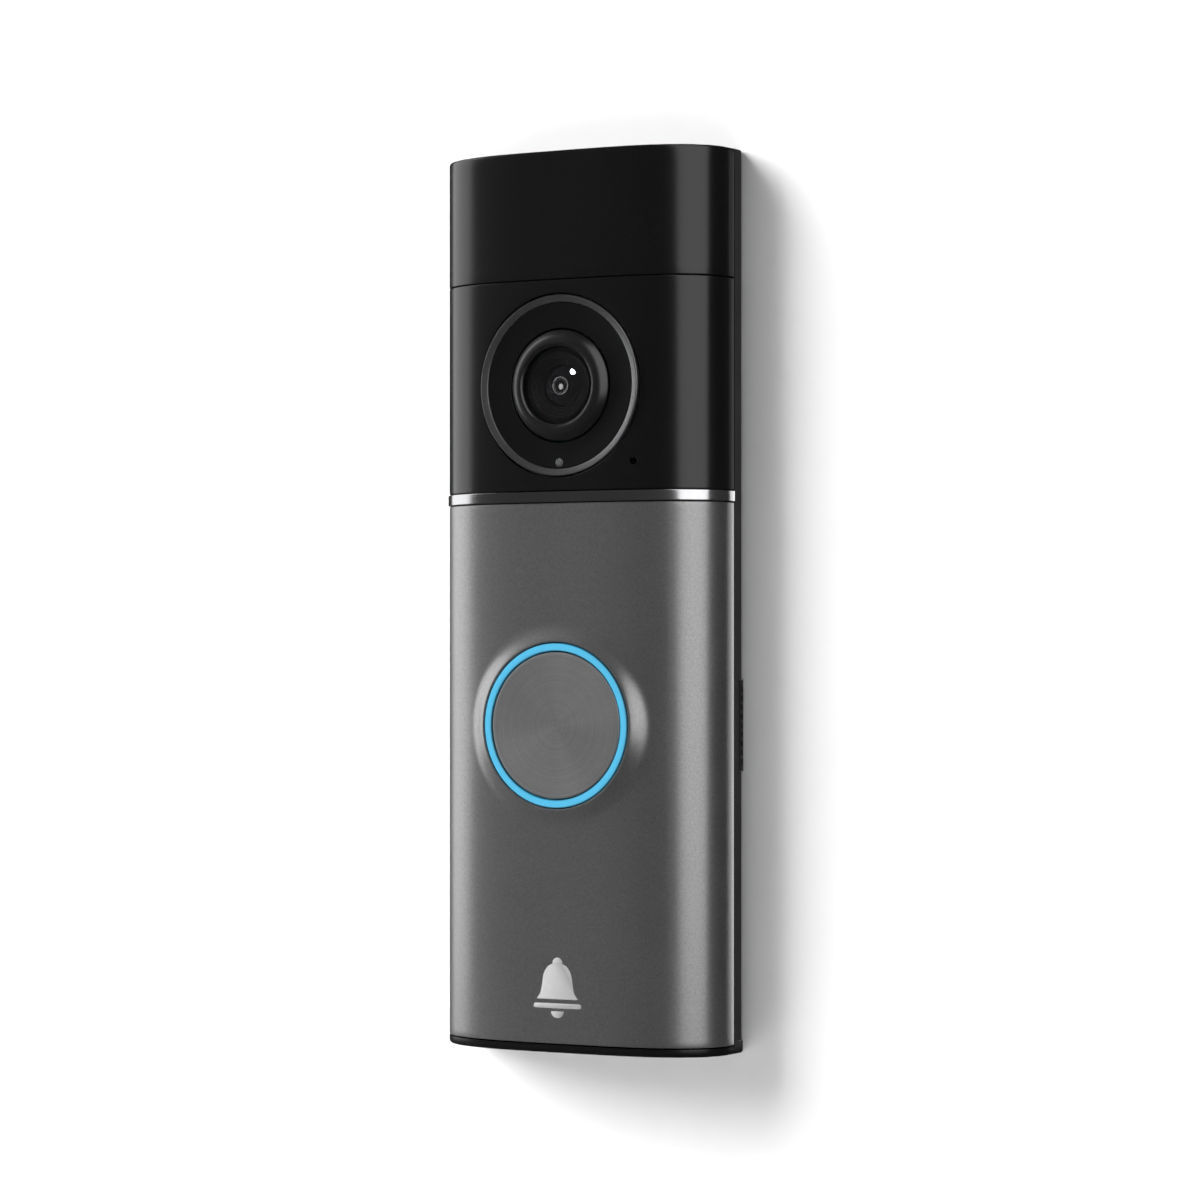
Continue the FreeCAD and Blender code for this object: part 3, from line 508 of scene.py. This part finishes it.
def inlay(name, outline):
    """Flat shape from an outline in (x, z) about the emblem's centre, its top on the crowned surface with a small bevel."""
    pts = np.array(outline, float)
    area = 0.5 * np.sum(pts[:, 0] * np.roll(pts[:, 1], -1) - np.roll(pts[:, 0], -1) * pts[:, 1])
    if area < 0:
        pts = pts[::-1]
    nxt, prv = np.roll(pts, -1, 0), np.roll(pts, 1, 0)
    t = nxt - prv
    t /= np.maximum(np.linalg.norm(t, axis=1, keepdims=True), 1e-9)
    nrm = np.stack([t[:, 1], -t[:, 0]], 1)
    verts, faces, loops = [], [], []
    for inset, off in ((0.0, 0.10), (0.0, -0.012), (0.045, -0.030)):
        q = pts - nrm * inset
        loop = []
        for x, z in q:
            loop.append(len(verts))
            verts.append(tuple(lift(float(s_of_x(x)), EM_Z + z, off)))
        loops.append(loop)
    n = len(pts)
    for la, lb in zip(loops, loops[1:]):
        for i in range(n):
            j = (i + 1) % n
            faces.append((la[i], la[j], lb[j], lb[i]))
    faces.append(tuple(loops[-1])); faces.append(tuple(reversed(loops[0])))
    return new_object(name, verts, faces, 25.0, "faceplate")


right = [(3.45, -1.75), (2.85, -0.9), (2.55, 0.4), (2.30, 1.8), (1.65, 2.9), (0.75, 3.35)]
body_line = spline(right) + [(0.85 * math.cos(a), 3.40 + 0.85 * math.sin(a)) for a in np.linspace(0.25, math.pi - 0.25, 14)]
body_line += [(-x, z) for x, z in reversed(spline(right))]
bell = inlay("bell_mark_body", body_line)
bar = [(3.6 + 0.35 * math.cos(a), -2.7 + 0.35 * math.sin(a)) for a in np.linspace(-math.pi / 2, math.pi / 2, 12)]
bar += [(-3.6 + 0.35 * math.cos(a), -2.7 + 0.35 * math.sin(a)) for a in np.linspace(math.pi / 2, 1.5 * math.pi, 12)]
bell_bar = inlay("bell_mark_bar", bar)
clap = [(1.05 * math.cos(a), -3.5 + 0.95 * math.sin(a)) for a in np.linspace(math.pi, 2 * math.pi, 24)]
bell_clap = inlay("bell_mark_clapper", clap)
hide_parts("emblem_inlay")


# ------------------------------------------------------------------ materials
def material(name, color, rough, metallic=0.0, grain=2600.0, grain_amp=0.10, rough_amp=0.05, bump=0.05, bump_dist=2e-5, blotch=60.0, blotch_amp=0.05,
             scratch=0.0, coat=0.0, coat_rough=0.1, specular=0.5, transmission=0.0, ior=1.5, emit=None, emit_strength=0.0, alpha=1.0, edge_wear=0.0):
    m = bpy.data.materials.new(name)
    m.use_nodes = True
    nt = m.node_tree
    b = nt.nodes["Principled BSDF"]
    b.inputs["Metallic"].default_value = metallic
    b.inputs["Specular IOR Level"].default_value = specular
    b.inputs["IOR"].default_value = ior
    b.inputs["Coat Weight"].default_value = coat
    b.inputs["Coat Roughness"].default_value = coat_rough
    b.inputs["Transmission Weight"].default_value = transmission
    b.inputs["Alpha"].default_value = alpha
    tc = nt.nodes.new("ShaderNodeTexCoord")

    def noise(scale, detail=3.0, roughness=0.55):
        n = nt.nodes.new("ShaderNodeTexNoise")
        n.inputs["Scale"].default_value = scale
        n.inputs["Detail"].default_value = detail
        n.inputs["Roughness"].default_value = roughness
        nt.links.new(tc.outputs["Object"], n.inputs["Vector"])
        return n

    def ramp(src, lo, hi, f0=0.3, f1=0.7):
        r = nt.nodes.new("ShaderNodeMapRange")
        r.inputs["From Min"].default_value = f0
        r.inputs["From Max"].default_value = f1
        r.inputs["To Min"].default_value = lo
        r.inputs["To Max"].default_value = hi
        nt.links.new(src, r.inputs["Value"])
        return r.outputs["Result"]

    fine, broad = noise(grain), noise(blotch, 4.0)
    # colour: fine grain times broad unevenness
    g = ramp(fine.outputs["Fac"], 1 - grain_amp, 1 + grain_amp)
    h = ramp(broad.outputs["Fac"], 1 - blotch_amp, 1 + blotch_amp)
    mul = nt.nodes.new("ShaderNodeMath"); mul.operation = "MULTIPLY"
    nt.links.new(g, mul.inputs[0]); nt.links.new(h, mul.inputs[1])
    col = nt.nodes.new("ShaderNodeVectorMath"); col.operation = "SCALE"
    col.inputs[0].default_value = color
    nt.links.new(mul.outputs[0], col.inputs["Scale"])
    out = col.outputs[0]
    if edge_wear > 0:
        geo = nt.nodes.new("ShaderNodeNewGeometry")
        worn = ramp(geo.outputs["Pointiness"], 0.0, edge_wear, 0.52, 0.62)
        mix = nt.nodes.new("ShaderNodeMix"); mix.data_type = "RGBA"
        mix.inputs["B"].default_value = (*[min(1.0, c * 2.2 + 0.02) for c in color], 1)
        nt.links.new(worn, mix.inputs["Factor"]); nt.links.new(out, mix.inputs["A"])
        out = mix.outputs["Result"]
    nt.links.new(out, b.inputs["Base Color"])
    # roughness
    rr = ramp(broad.outputs["Fac"], max(0.01, rough - rough_amp), rough + rough_amp)
    nt.links.new(rr, b.inputs["Roughness"])
    # surface relief
    if bump > 0:
        bp = nt.nodes.new("ShaderNodeBump")
        bp.inputs["Strength"].default_value = bump
        bp.inputs["Distance"].default_value = bump_dist
        nt.links.new(fine.outputs["Fac"], bp.inputs["Height"])
        last = bp
        if scratch > 0:
            st = nt.nodes.new("ShaderNodeTexNoise")
            mp = nt.nodes.new("ShaderNodeMapping")
            mp.inputs["Scale"].default_value = (300, 300, 9000)
            mp.inputs["Rotation"].default_value = (0.0, 0.5, 0.0)
            nt.links.new(tc.outputs["Object"], mp.inputs["Vector"])
            nt.links.new(mp.outputs["Vector"], st.inputs["Vector"])
            st.inputs["Scale"].default_value = 1.0
            b2 = nt.nodes.new("ShaderNodeBump")
            b2.inputs["Strength"].default_value = scratch
            b2.inputs["Distance"].default_value = bump_dist
            nt.links.new(st.outputs["Fac"], b2.inputs["Height"])
            nt.links.new(bp.outputs["Normal"], b2.inputs["Normal"])
            last = b2
        nt.links.new(last.outputs["Normal"], b.inputs["Normal"])
    if emit is not None:
        b.inputs["Emission Color"].default_value = (*emit, 1)
        b.inputs["Emission Strength"].default_value = emit_strength
    return m


def dress(ob, mat):
    ob.data.materials.clear()
    ob.data.materials.append(mat)


M = {}
M["black_cover"] = material("satin_black_cover", (0.0046, 0.0046, 0.0049), 0.225, grain=3800, grain_amp=0.12, rough_amp=0.02, bump=0.06, bump_dist=4e-6, blotch=40, blotch_amp=0.06, specular=0.38, scratch=0.01)
M["black_housing"] = material("matt_black_housing", (0.016, 0.016, 0.0165), 0.48, grain=2600, grain_amp=0.16, rough_amp=0.05, bump=0.25, bump_dist=2.5e-5)
M["chassis_plastic"] = material("chassis_black", (0.030, 0.030, 0.031), 0.50, grain=2400, grain_amp=0.14, bump=0.25, bump_dist=2.5e-5, edge_wear=0.3)
M["faceplate_grey"] = material("satin_grey_faceplate", (0.225, 0.225, 0.226), 0.31, metallic=0.78, grain=3600, grain_amp=0.13, rough_amp=0.02, bump=0.10, bump_dist=6e-6, blotch=45, blotch_amp=0.02)
M["chrome_trim"] = material("polished_trim", (0.43, 0.43, 0.44), 0.19, metallic=1.0, grain=1500, grain_amp=0.02, rough_amp=0.03, bump=0.02, bump_dist=4e-6, scratch=0.02)
M["emblem_metal"] = material("polished_mark", (0.70, 0.70, 0.70), 0.22, metallic=0.5, grain=1500, grain_amp=0.02, rough_amp=0.03, bump=0.02, bump_dist=4e-6)
M["lens_ring_plastic"] = material("lens_ring_black", (0.0085, 0.0085, 0.009), 0.30, grain=3400, grain_amp=0.10, rough_amp=0.03, bump=0.05, bump_dist=4e-6)
M["infrared_window"] = material("infrared_pass_window", (0.0028, 0.0028, 0.0031), 0.34, grain=3800, grain_amp=0.12, rough_amp=0.02, bump=0.06, bump_dist=5e-6)
M["optical_glass"] = material("optical_glass", (1.0, 1.0, 1.0), 0.015, grain=900, grain_amp=0.0, rough_amp=0.005, bump=0.0, blotch_amp=0.0, transmission=1.0, ior=1.46)
M["sensor_window"] = material("clear_sensor_window", (0.075, 0.078, 0.080), 0.22, grain=2600, grain_amp=0.08, rough_amp=0.04, bump=0.02, coat=0.6, coat_rough=0.05)
M["lens_bevel"] = material("satin_lens_bevel", (0.19, 0.19, 0.193), 0.33, metallic=0.9, grain=3400, grain_amp=0.12, rough_amp=0.03, bump=0.06, bump_dist=4e-6)
M["dome_glass"] = material("clear_dome", (0.95, 0.96, 1.0), 0.02, metallic=1.0, grain=900, grain_amp=0.01, rough_amp=0.008, bump=0.0, blotch_amp=0.01, alpha=0.045)
M["dark_glass"] = material("coated_dark_glass", (0.0022, 0.0023, 0.0030), 0.05, grain=1500, grain_amp=0.05, rough_amp=0.01, bump=0.0, coat=1.0, coat_rough=0.02)
M["barrel_black"] = material("lens_barrel_black", (0.0035, 0.0035, 0.0037), 0.30, grain=2600, grain_amp=0.10, rough_amp=0.03, bump=0.05, bump_dist=4e-6)
M["silicone_black"] = material("silicone_black", (0.022, 0.022, 0.022), 0.62, bump=0.3, grain=1800)
M["foam_grey"] = material("closed_cell_foam", (0.10, 0.10, 0.105), 0.85, bump=0.8, bump_dist=8e-5, grain=1600, grain_amp=0.3)
M["circuit_board"] = material("green_solder_mask", (0.010, 0.085, 0.038), 0.32, bump=0.2, grain=1300, grain_amp=0.25, blotch=350, blotch_amp=0.25, coat=0.4)
M["shield_metal"] = material("tinned_steel", (0.60, 0.60, 0.61), 0.30, metallic=1.0, grain=1800, grain_amp=0.08, bump=0.12, scratch=0.1)
M["heat_spreader_metal"] = material("mill_aluminium", (0.66, 0.67, 0.68), 0.36, metallic=1.0, grain=1500, grain_amp=0.08, bump=0.1, scratch=0.15)
M["thermal_pad_grey"] = material("gel_pad", (0.33, 0.35, 0.40), 0.7, bump=0.4, grain=900)
M["chip_black"] = material("moulded_package", (0.018, 0.018, 0.019), 0.42, bump=0.25, grain=3000, grain_amp=0.15)
M["ceramic_sensor"] = material("coated_silicon", (0.03, 0.05, 0.10), 0.12, coat=0.8, grain=2500, grain_amp=0.2, blotch=500, blotch_amp=0.3)
M["led_package"] = material("led_white", (0.72, 0.73, 0.68), 0.45, grain=1500, grain_amp=0.06)
M["screw_steel"] = material("zinc_screw", (0.42, 0.42, 0.43), 0.30, metallic=1.0, grain=1200, grain_amp=0.12, bump=0.15, edge_wear=0.4)
M["black_screw"] = material("black_oxide_screw", (0.045, 0.045, 0.047), 0.38, metallic=0.9, grain=1600, grain_amp=0.12, bump=0.15, edge_wear=0.4)
M["brass_terminal"] = material("plated_brass", (0.70, 0.50, 0.22), 0.28, metallic=1.0, grain=1300, grain_amp=0.10, bump=0.1, edge_wear=0.3)
M["connector_ivory"] = material("ivory_nylon", (0.66, 0.62, 0.52), 0.45, grain=1500, grain_amp=0.06)
M["antenna_copper"] = material("copper_foil", (0.62, 0.36, 0.20), 0.30, metallic=1.0, grain=900, grain_amp=0.1)
M["flex_amber"] = material("polyimide_film", (0.48, 0.24, 0.05), 0.28, grain=1200, grain_amp=0.1, coat=0.5)
M["capacitor_tan"] = material("tantalum_case", (0.52, 0.35, 0.09), 0.42, grain=1600, grain_amp=0.1)
M["speaker_paper"] = material("coated_paper_cone", (0.045, 0.045, 0.047), 0.8, bump=0.7, grain=1500, grain_amp=0.25)
M["light_diffuser"] = material("lit_diffuser", (0.02, 0.16, 0.26), 0.35, grain=1400, grain_amp=0.06, rough_amp=0.03, bump=0.03, emit=(0.108, 0.495, 0.745), emit_strength=0.92)


def lit_band(m, r0, r1, fade, strength):
    """Keeps the emission to a band of radii about the button's axis."""
    nt = m.node_tree
    b = nt.nodes["Principled BSDF"]
    tc = next(n for n in nt.nodes if n.type == "TEX_COORD")
    sub = nt.nodes.new("ShaderNodeVectorMath"); sub.operation = "SUBTRACT"
    sub.inputs[1].default_value = (0, 0, BTN_Z * MM)
    nt.links.new(tc.outputs["Object"], sub.inputs[0])
    flat = nt.nodes.new("ShaderNodeVectorMath"); flat.operation = "MULTIPLY"
    flat.inputs[1].default_value = (1, 0, 1)
    nt.links.new(sub.outputs[0], flat.inputs[0])
    ln = nt.nodes.new("ShaderNodeVectorMath"); ln.operation = "LENGTH"
    nt.links.new(flat.outputs[0], ln.inputs[0])
    off = nt.nodes.new("ShaderNodeMath"); off.operation = "SUBTRACT"; off.inputs[1].default_value = 0.5 * (r0 + r1) * MM
    ab = nt.nodes.new("ShaderNodeMath"); ab.operation = "ABSOLUTE"
    nt.links.new(ln.outputs["Value"], off.inputs[0]); nt.links.new(off.outputs[0], ab.inputs[0])
    rg = nt.nodes.new("ShaderNodeMapRange"); rg.interpolation_type = "SMOOTHSTEP"
    rg.inputs["From Min"].default_value = (0.5 * (r1 - r0) - fade) * MM
    rg.inputs["From Max"].default_value = (0.5 * (r1 - r0) + fade) * MM
    rg.inputs["To Min"].default_value = strength
    rg.inputs["To Max"].default_value = strength * 0.06
    nt.links.new(ab.outputs[0], rg.inputs["Value"])
    nt.links.new(rg.outputs["Result"], b.inputs["Emission Strength"])


lit_band(M["light_diffuser"], 10.87, 11.75, 0.10, 0.62)


def spun_metal():
    """Dark anodised aluminium, spun: fine rings about the button's axis, and faint painted highlight sectors in its
    colour.
    """
    m = material("spun_dark_aluminium", (0.25, 0.25, 0.252), 0.36, metallic=0.66, grain=3000, grain_amp=0.05, rough_amp=0.03, bump=0.02, bump_dist=3e-6)
    nt = m.node_tree
    b = nt.nodes["Principled BSDF"]
    tc = next(n for n in nt.nodes if n.type == "TEX_COORD")
    mp = nt.nodes.new("ShaderNodeMapping")
    mp.inputs["Location"].default_value = (0, 0, -BTN_Z * MM)
    nt.links.new(tc.outputs["Object"], mp.inputs["Vector"])
    flat = nt.nodes.new("ShaderNodeVectorMath"); flat.operation = "MULTIPLY"
    flat.inputs[1].default_value = (1, 0, 1)
    nt.links.new(mp.outputs["Vector"], flat.inputs[0])
    ln = nt.nodes.new("ShaderNodeVectorMath"); ln.operation = "LENGTH"
    nt.links.new(flat.outputs[0], ln.inputs[0])
    # noise along the radius only, with a slow change round the disc
    sep = nt.nodes.new("ShaderNodeCombineXYZ")
    k = nt.nodes.new("ShaderNodeMath"); k.operation = "MULTIPLY"; k.inputs[1].default_value = 3000.0
    nt.links.new(ln.outputs["Value"], k.inputs[0]); nt.links.new(k.outputs[0], sep.inputs[0])
    n1 = nt.nodes.new("ShaderNodeTexNoise"); n1.inputs["Scale"].default_value = 1.0; n1.inputs["Detail"].default_value = 4.0; n1.inputs["Roughness"].default_value = 0.7
    nt.links.new(sep.outputs[0], n1.inputs["Vector"])
    bp = nt.nodes.new("ShaderNodeBump"); bp.inputs["Strength"].default_value = 0.35; bp.inputs["Distance"].default_value = 1.2e-5
    nt.links.new(n1.outputs["Fac"], bp.inputs["Height"]); nt.links.new(bp.outputs["Normal"], b.inputs["Normal"])
    # ring-to-ring tone
    rg = nt.nodes.new("ShaderNodeMapRange"); rg.inputs["From Min"].default_value = 0.25; rg.inputs["From Max"].default_value = 0.75
    rg.inputs["To Min"].default_value = 0.80; rg.inputs["To Max"].default_value = 1.20
    nt.links.new(n1.outputs["Fac"], rg.inputs["Value"])
    old = b.inputs["Base Color"].links[0].from_socket
    sc = nt.nodes.new("ShaderNodeVectorMath"); sc.operation = "SCALE"
    nt.links.new(old, sc.inputs[0]); nt.links.new(rg.outputs["Result"], sc.inputs["Scale"])
    nt.links.new(sc.outputs[0], b.inputs["Base Color"])
    # painted highlight: faint bright and dark sectors round the disc, painted into the base colour in place of the spun
    # face's anisotropic reflection
    sp = nt.nodes.new("ShaderNodeSeparateXYZ"); nt.links.new(flat.outputs[0], sp.inputs[0])
    an = nt.nodes.new("ShaderNodeMath"); an.operation = "ARCTAN2"
    nt.links.new(sp.outputs["Z"], an.inputs[0]); nt.links.new(sp.outputs["X"], an.inputs[1])
    last = None
    for mult, phase, amp in ((2.0, 0.9, 0.040), (5.0, 2.1, 0.022), (9.0, 0.4, 0.016)):
        mu = nt.nodes.new("ShaderNodeMath"); mu.operation = "MULTIPLY_ADD"
        mu.inputs[1].default_value = mult; mu.inputs[2].default_value = phase
        nt.links.new(an.outputs[0], mu.inputs[0])
        si = nt.nodes.new("ShaderNodeMath"); si.operation = "SINE"; nt.links.new(mu.outputs[0], si.inputs[0])
        ad = nt.nodes.new("ShaderNodeMath"); ad.operation = "MULTIPLY_ADD"; ad.inputs[1].default_value = amp
        nt.links.new(si.outputs[0], ad.inputs[0])
        if last is None:
            ad.inputs[2].default_value = 1.0
        else:
            nt.links.new(last, ad.inputs[2])
        last = ad.outputs[0]
    # the base colour times the painted highlight sectors
    painted_sheen_colour = nt.nodes.new("ShaderNodeVectorMath"); painted_sheen_colour.operation = "SCALE"
    nt.links.new(sc.outputs[0], painted_sheen_colour.inputs[0]); nt.links.new(last, painted_sheen_colour.inputs["Scale"])
    nt.links.new(painted_sheen_colour.outputs[0], b.inputs["Base Color"])
    b.inputs["Anisotropic"].default_value = 0.75
    tg = nt.nodes.new("ShaderNodeTangent"); tg.direction_type = "RADIAL"; tg.axis = "Y"
    nt.links.new(tg.outputs["Tangent"], b.inputs["Tangent"])
    return m


M["spun_metal"] = spun_metal()

# every CAD node that still shows takes its slot's material
slot_of = {s["node"]: s["material_slot"] for s in frame["record"]["subparts"]}
for n, ob in NODES.items():
    key = slot_of.get(n)
    if key in M:
        dress(ob, M[key])
for ob, key in ((top_cover, "black_cover"), (camera_cover, "black_cover"), (cap, "black_cover"), (faceplate, "faceplate_grey"), (trim, "chrome_trim"),
                (bezel, "lens_bevel"), (dish, "infrared_window"), (collar, "lens_ring_plastic"), (dome, "dome_glass"), (barrel, "barrel_black"),
                (el1, "dark_glass"), (el2, "dark_glass"), (el3, "dark_glass"), (window, "sensor_window"), (ring, "light_diffuser"),
                (button, "spun_metal"), (bell, "emblem_metal"), (bell_bar, "emblem_metal"), (bell_clap, "emblem_metal")):
    dress(ob, M[key])

# ------------------------------------------------------------------ wall, floor, light and camera
def plain(name, color, rough=0.9):
    m = material(name, color, rough, grain=300, grain_amp=0.004, rough_amp=0.02, bump=0.0, blotch=3, blotch_amp=0.004, specular=0.0)
    return m


wall_paint = plain("pale_wall_paint", (0.90, 0.90, 0.90))


def wall():
    """A pale wall with a window just inside the doorbell's outline, so that the rear stays visible from behind."""
    y, w = 0.00005, 2.6
    hx, hz = 0.0221, 0.0640
    xs, zs = [-w, -hx, hx, w], [-w, -hz, hz, w]
    verts = [(x, y, z) for z in zs for x in xs]
    faces = []
    for j in range(3):
        for i in range(3):
            if i == 1 and j == 1:
                continue
            a = j * 4 + i
            faces.append((a, a + 1, a + 5, a + 4))
    me = bpy.data.meshes.new("backdrop_wall")
    me.from_pydata(verts, [], faces)
    ob = bpy.data.objects.new("backdrop_wall", me)
    bpy.context.scene.collection.objects.link(ob)
    me.materials.append(wall_paint)
    ob.visible_glossy = False
    return ob


wall()
me = bpy.data.meshes.new("floor")
me.from_pydata([(-2.5, -2.5, -0.75), (2.5, -2.5, -0.75), (2.5, 2.5, -0.75), (-2.5, 2.5, -0.75)], [], [(0, 1, 2, 3)])
floor = bpy.data.objects.new("floor", me)
bpy.context.scene.collection.objects.link(floor)
me.materials.append(plain("pale_floor_paint", (0.80, 0.80, 0.80)))
floor.visible_glossy = False
floor.visible_transmission = False

scene = bpy.context.scene
world = bpy.data.worlds.new("studio")
world.use_nodes = True
world.node_tree.nodes["Background"].inputs["Color"].default_value = (1, 1, 1, 1)
world.node_tree.nodes["Background"].inputs["Strength"].default_value = 0.06
scene.world = world
scene.view_settings.view_transform = "Standard"
scene.view_settings.look = "None"
scene.view_settings.exposure = 0.0
scene.view_settings.gamma = 1.0


def area(name, azimuth, elevation, dist, w, h, power, target=(0, 0, 0), spread=None, color=(1, 1, 1)):
    """A soft panel. Azimuth is measured from the front (-Y) towards +X, as seen from the doorbell."""
    L = bpy.data.lights.new(name, "AREA")
    L.shape = "RECTANGLE"
    L.size, L.size_y, L.energy, L.color = w, h, power, color
    if spread:
        L.spread = math.radians(spread)
    ob = bpy.data.objects.new(name, L)
    a, e = math.radians(azimuth), math.radians(elevation)
    d = Vector((math.sin(a) * math.cos(e), -math.cos(a) * math.cos(e), math.sin(e)))
    t = Vector(target)
    ob.location = t + d * dist
    ob.rotation_euler = (-d).to_track_quat("-Z", "Y").to_euler()
    scene.collection.objects.link(ob)
    return ob


# the key lights the matt surfaces from the upper left; the tall side panel is what the glossy ones mirror
key = area("key_upper_left", -66, 31, 2.5, 2.2, 1.9, 206.0)
key.visible_glossy = False
key.visible_transmission = False
side = area("side_right", 56, 27, 0.85, 0.86, 1.35, 8.4)
side.visible_diffuse = False
side.visible_transmission = False
left = area("side_left", -86, 19, 0.85, 0.66, 0.95, 3.9)
left.visible_diffuse = False
left.visible_transmission = False
spot = area("lens_sparkle", 5, 25, 0.9, 0.13, 0.13, 1.9)
spot.data.shape = "DISK"
spot.visible_diffuse = False
centre = area("lens_centre_sparkle", -27, 3, 0.9, 0.24, 0.24, 0.8)
centre.data.shape = "DISK"
centre.visible_diffuse = False
only_front = bpy.data.collections.new("lit_by_the_centre_sparkle")
only_front.objects.link(el1)
centre.light_linking.receiver_collection = only_front
only_lens = bpy.data.collections.new("lit_by_the_sparkle")
for ob in (dome, el2, el3):
    only_lens.objects.link(ob)
spot.light_linking.receiver_collection = only_lens
not_lens = bpy.data.collections.new("lit_by_the_side_panel")
for ob in bpy.context.scene.collection.objects:
    if ob.type == "MESH" and ob not in (dome, el1, el2, el3):
        not_lens.objects.link(ob)
side.light_linking.receiver_collection = not_lens
left.light_linking.receiver_collection = not_lens
# soft light behind the wall, for the rear
for rear in (area("rear_left", 150, 20, 0.9, 0.5, 0.5, 9.0), area("rear_right", -150, 10, 0.9, 0.5, 0.5, 6.0)):
    rear.visible_glossy = False
# the thin sheen along the right-hand edge, weaker on the glossy black covers than on the satin grey
only_grey = bpy.data.collections.new("lit_by_the_grey_rim")
for ob in (faceplate, trim):
    only_grey.objects.link(ob)
not_grey = bpy.data.collections.new("lit_by_the_black_rim")
for ob in not_lens.objects:
    if ob not in (faceplate, trim):
        not_grey.objects.link(ob)
for label, power, lit in (("rim_grey", 3.8, only_grey), ("rim_black", 0.65, not_grey)):
    rim = area(label, 180, 2, 0.9, 1.1, 0.5, power)
    rim.visible_diffuse = False
    rim.visible_transmission = False
    rim.light_linking.receiver_collection = lit

cam_data = bpy.data.cameras.new("camera")
cam_data.sensor_fit = "HORIZONTAL"
cam_data.sensor_width = 36.0
cam_data.lens = 116.83
cam_data.shift_x = 4.0 / 1200
cam_data.shift_y = 58.95 / 1200
cam_data.clip_start, cam_data.clip_end = 0.01, 20.0
cam = bpy.data.objects.new("camera", cam_data)
cam.location = (0.28468, -0.49641, -0.00826)
cam.rotation_euler = (math.radians(90), 0, math.radians(29.953))
scene.collection.objects.link(cam)
scene.camera = cam
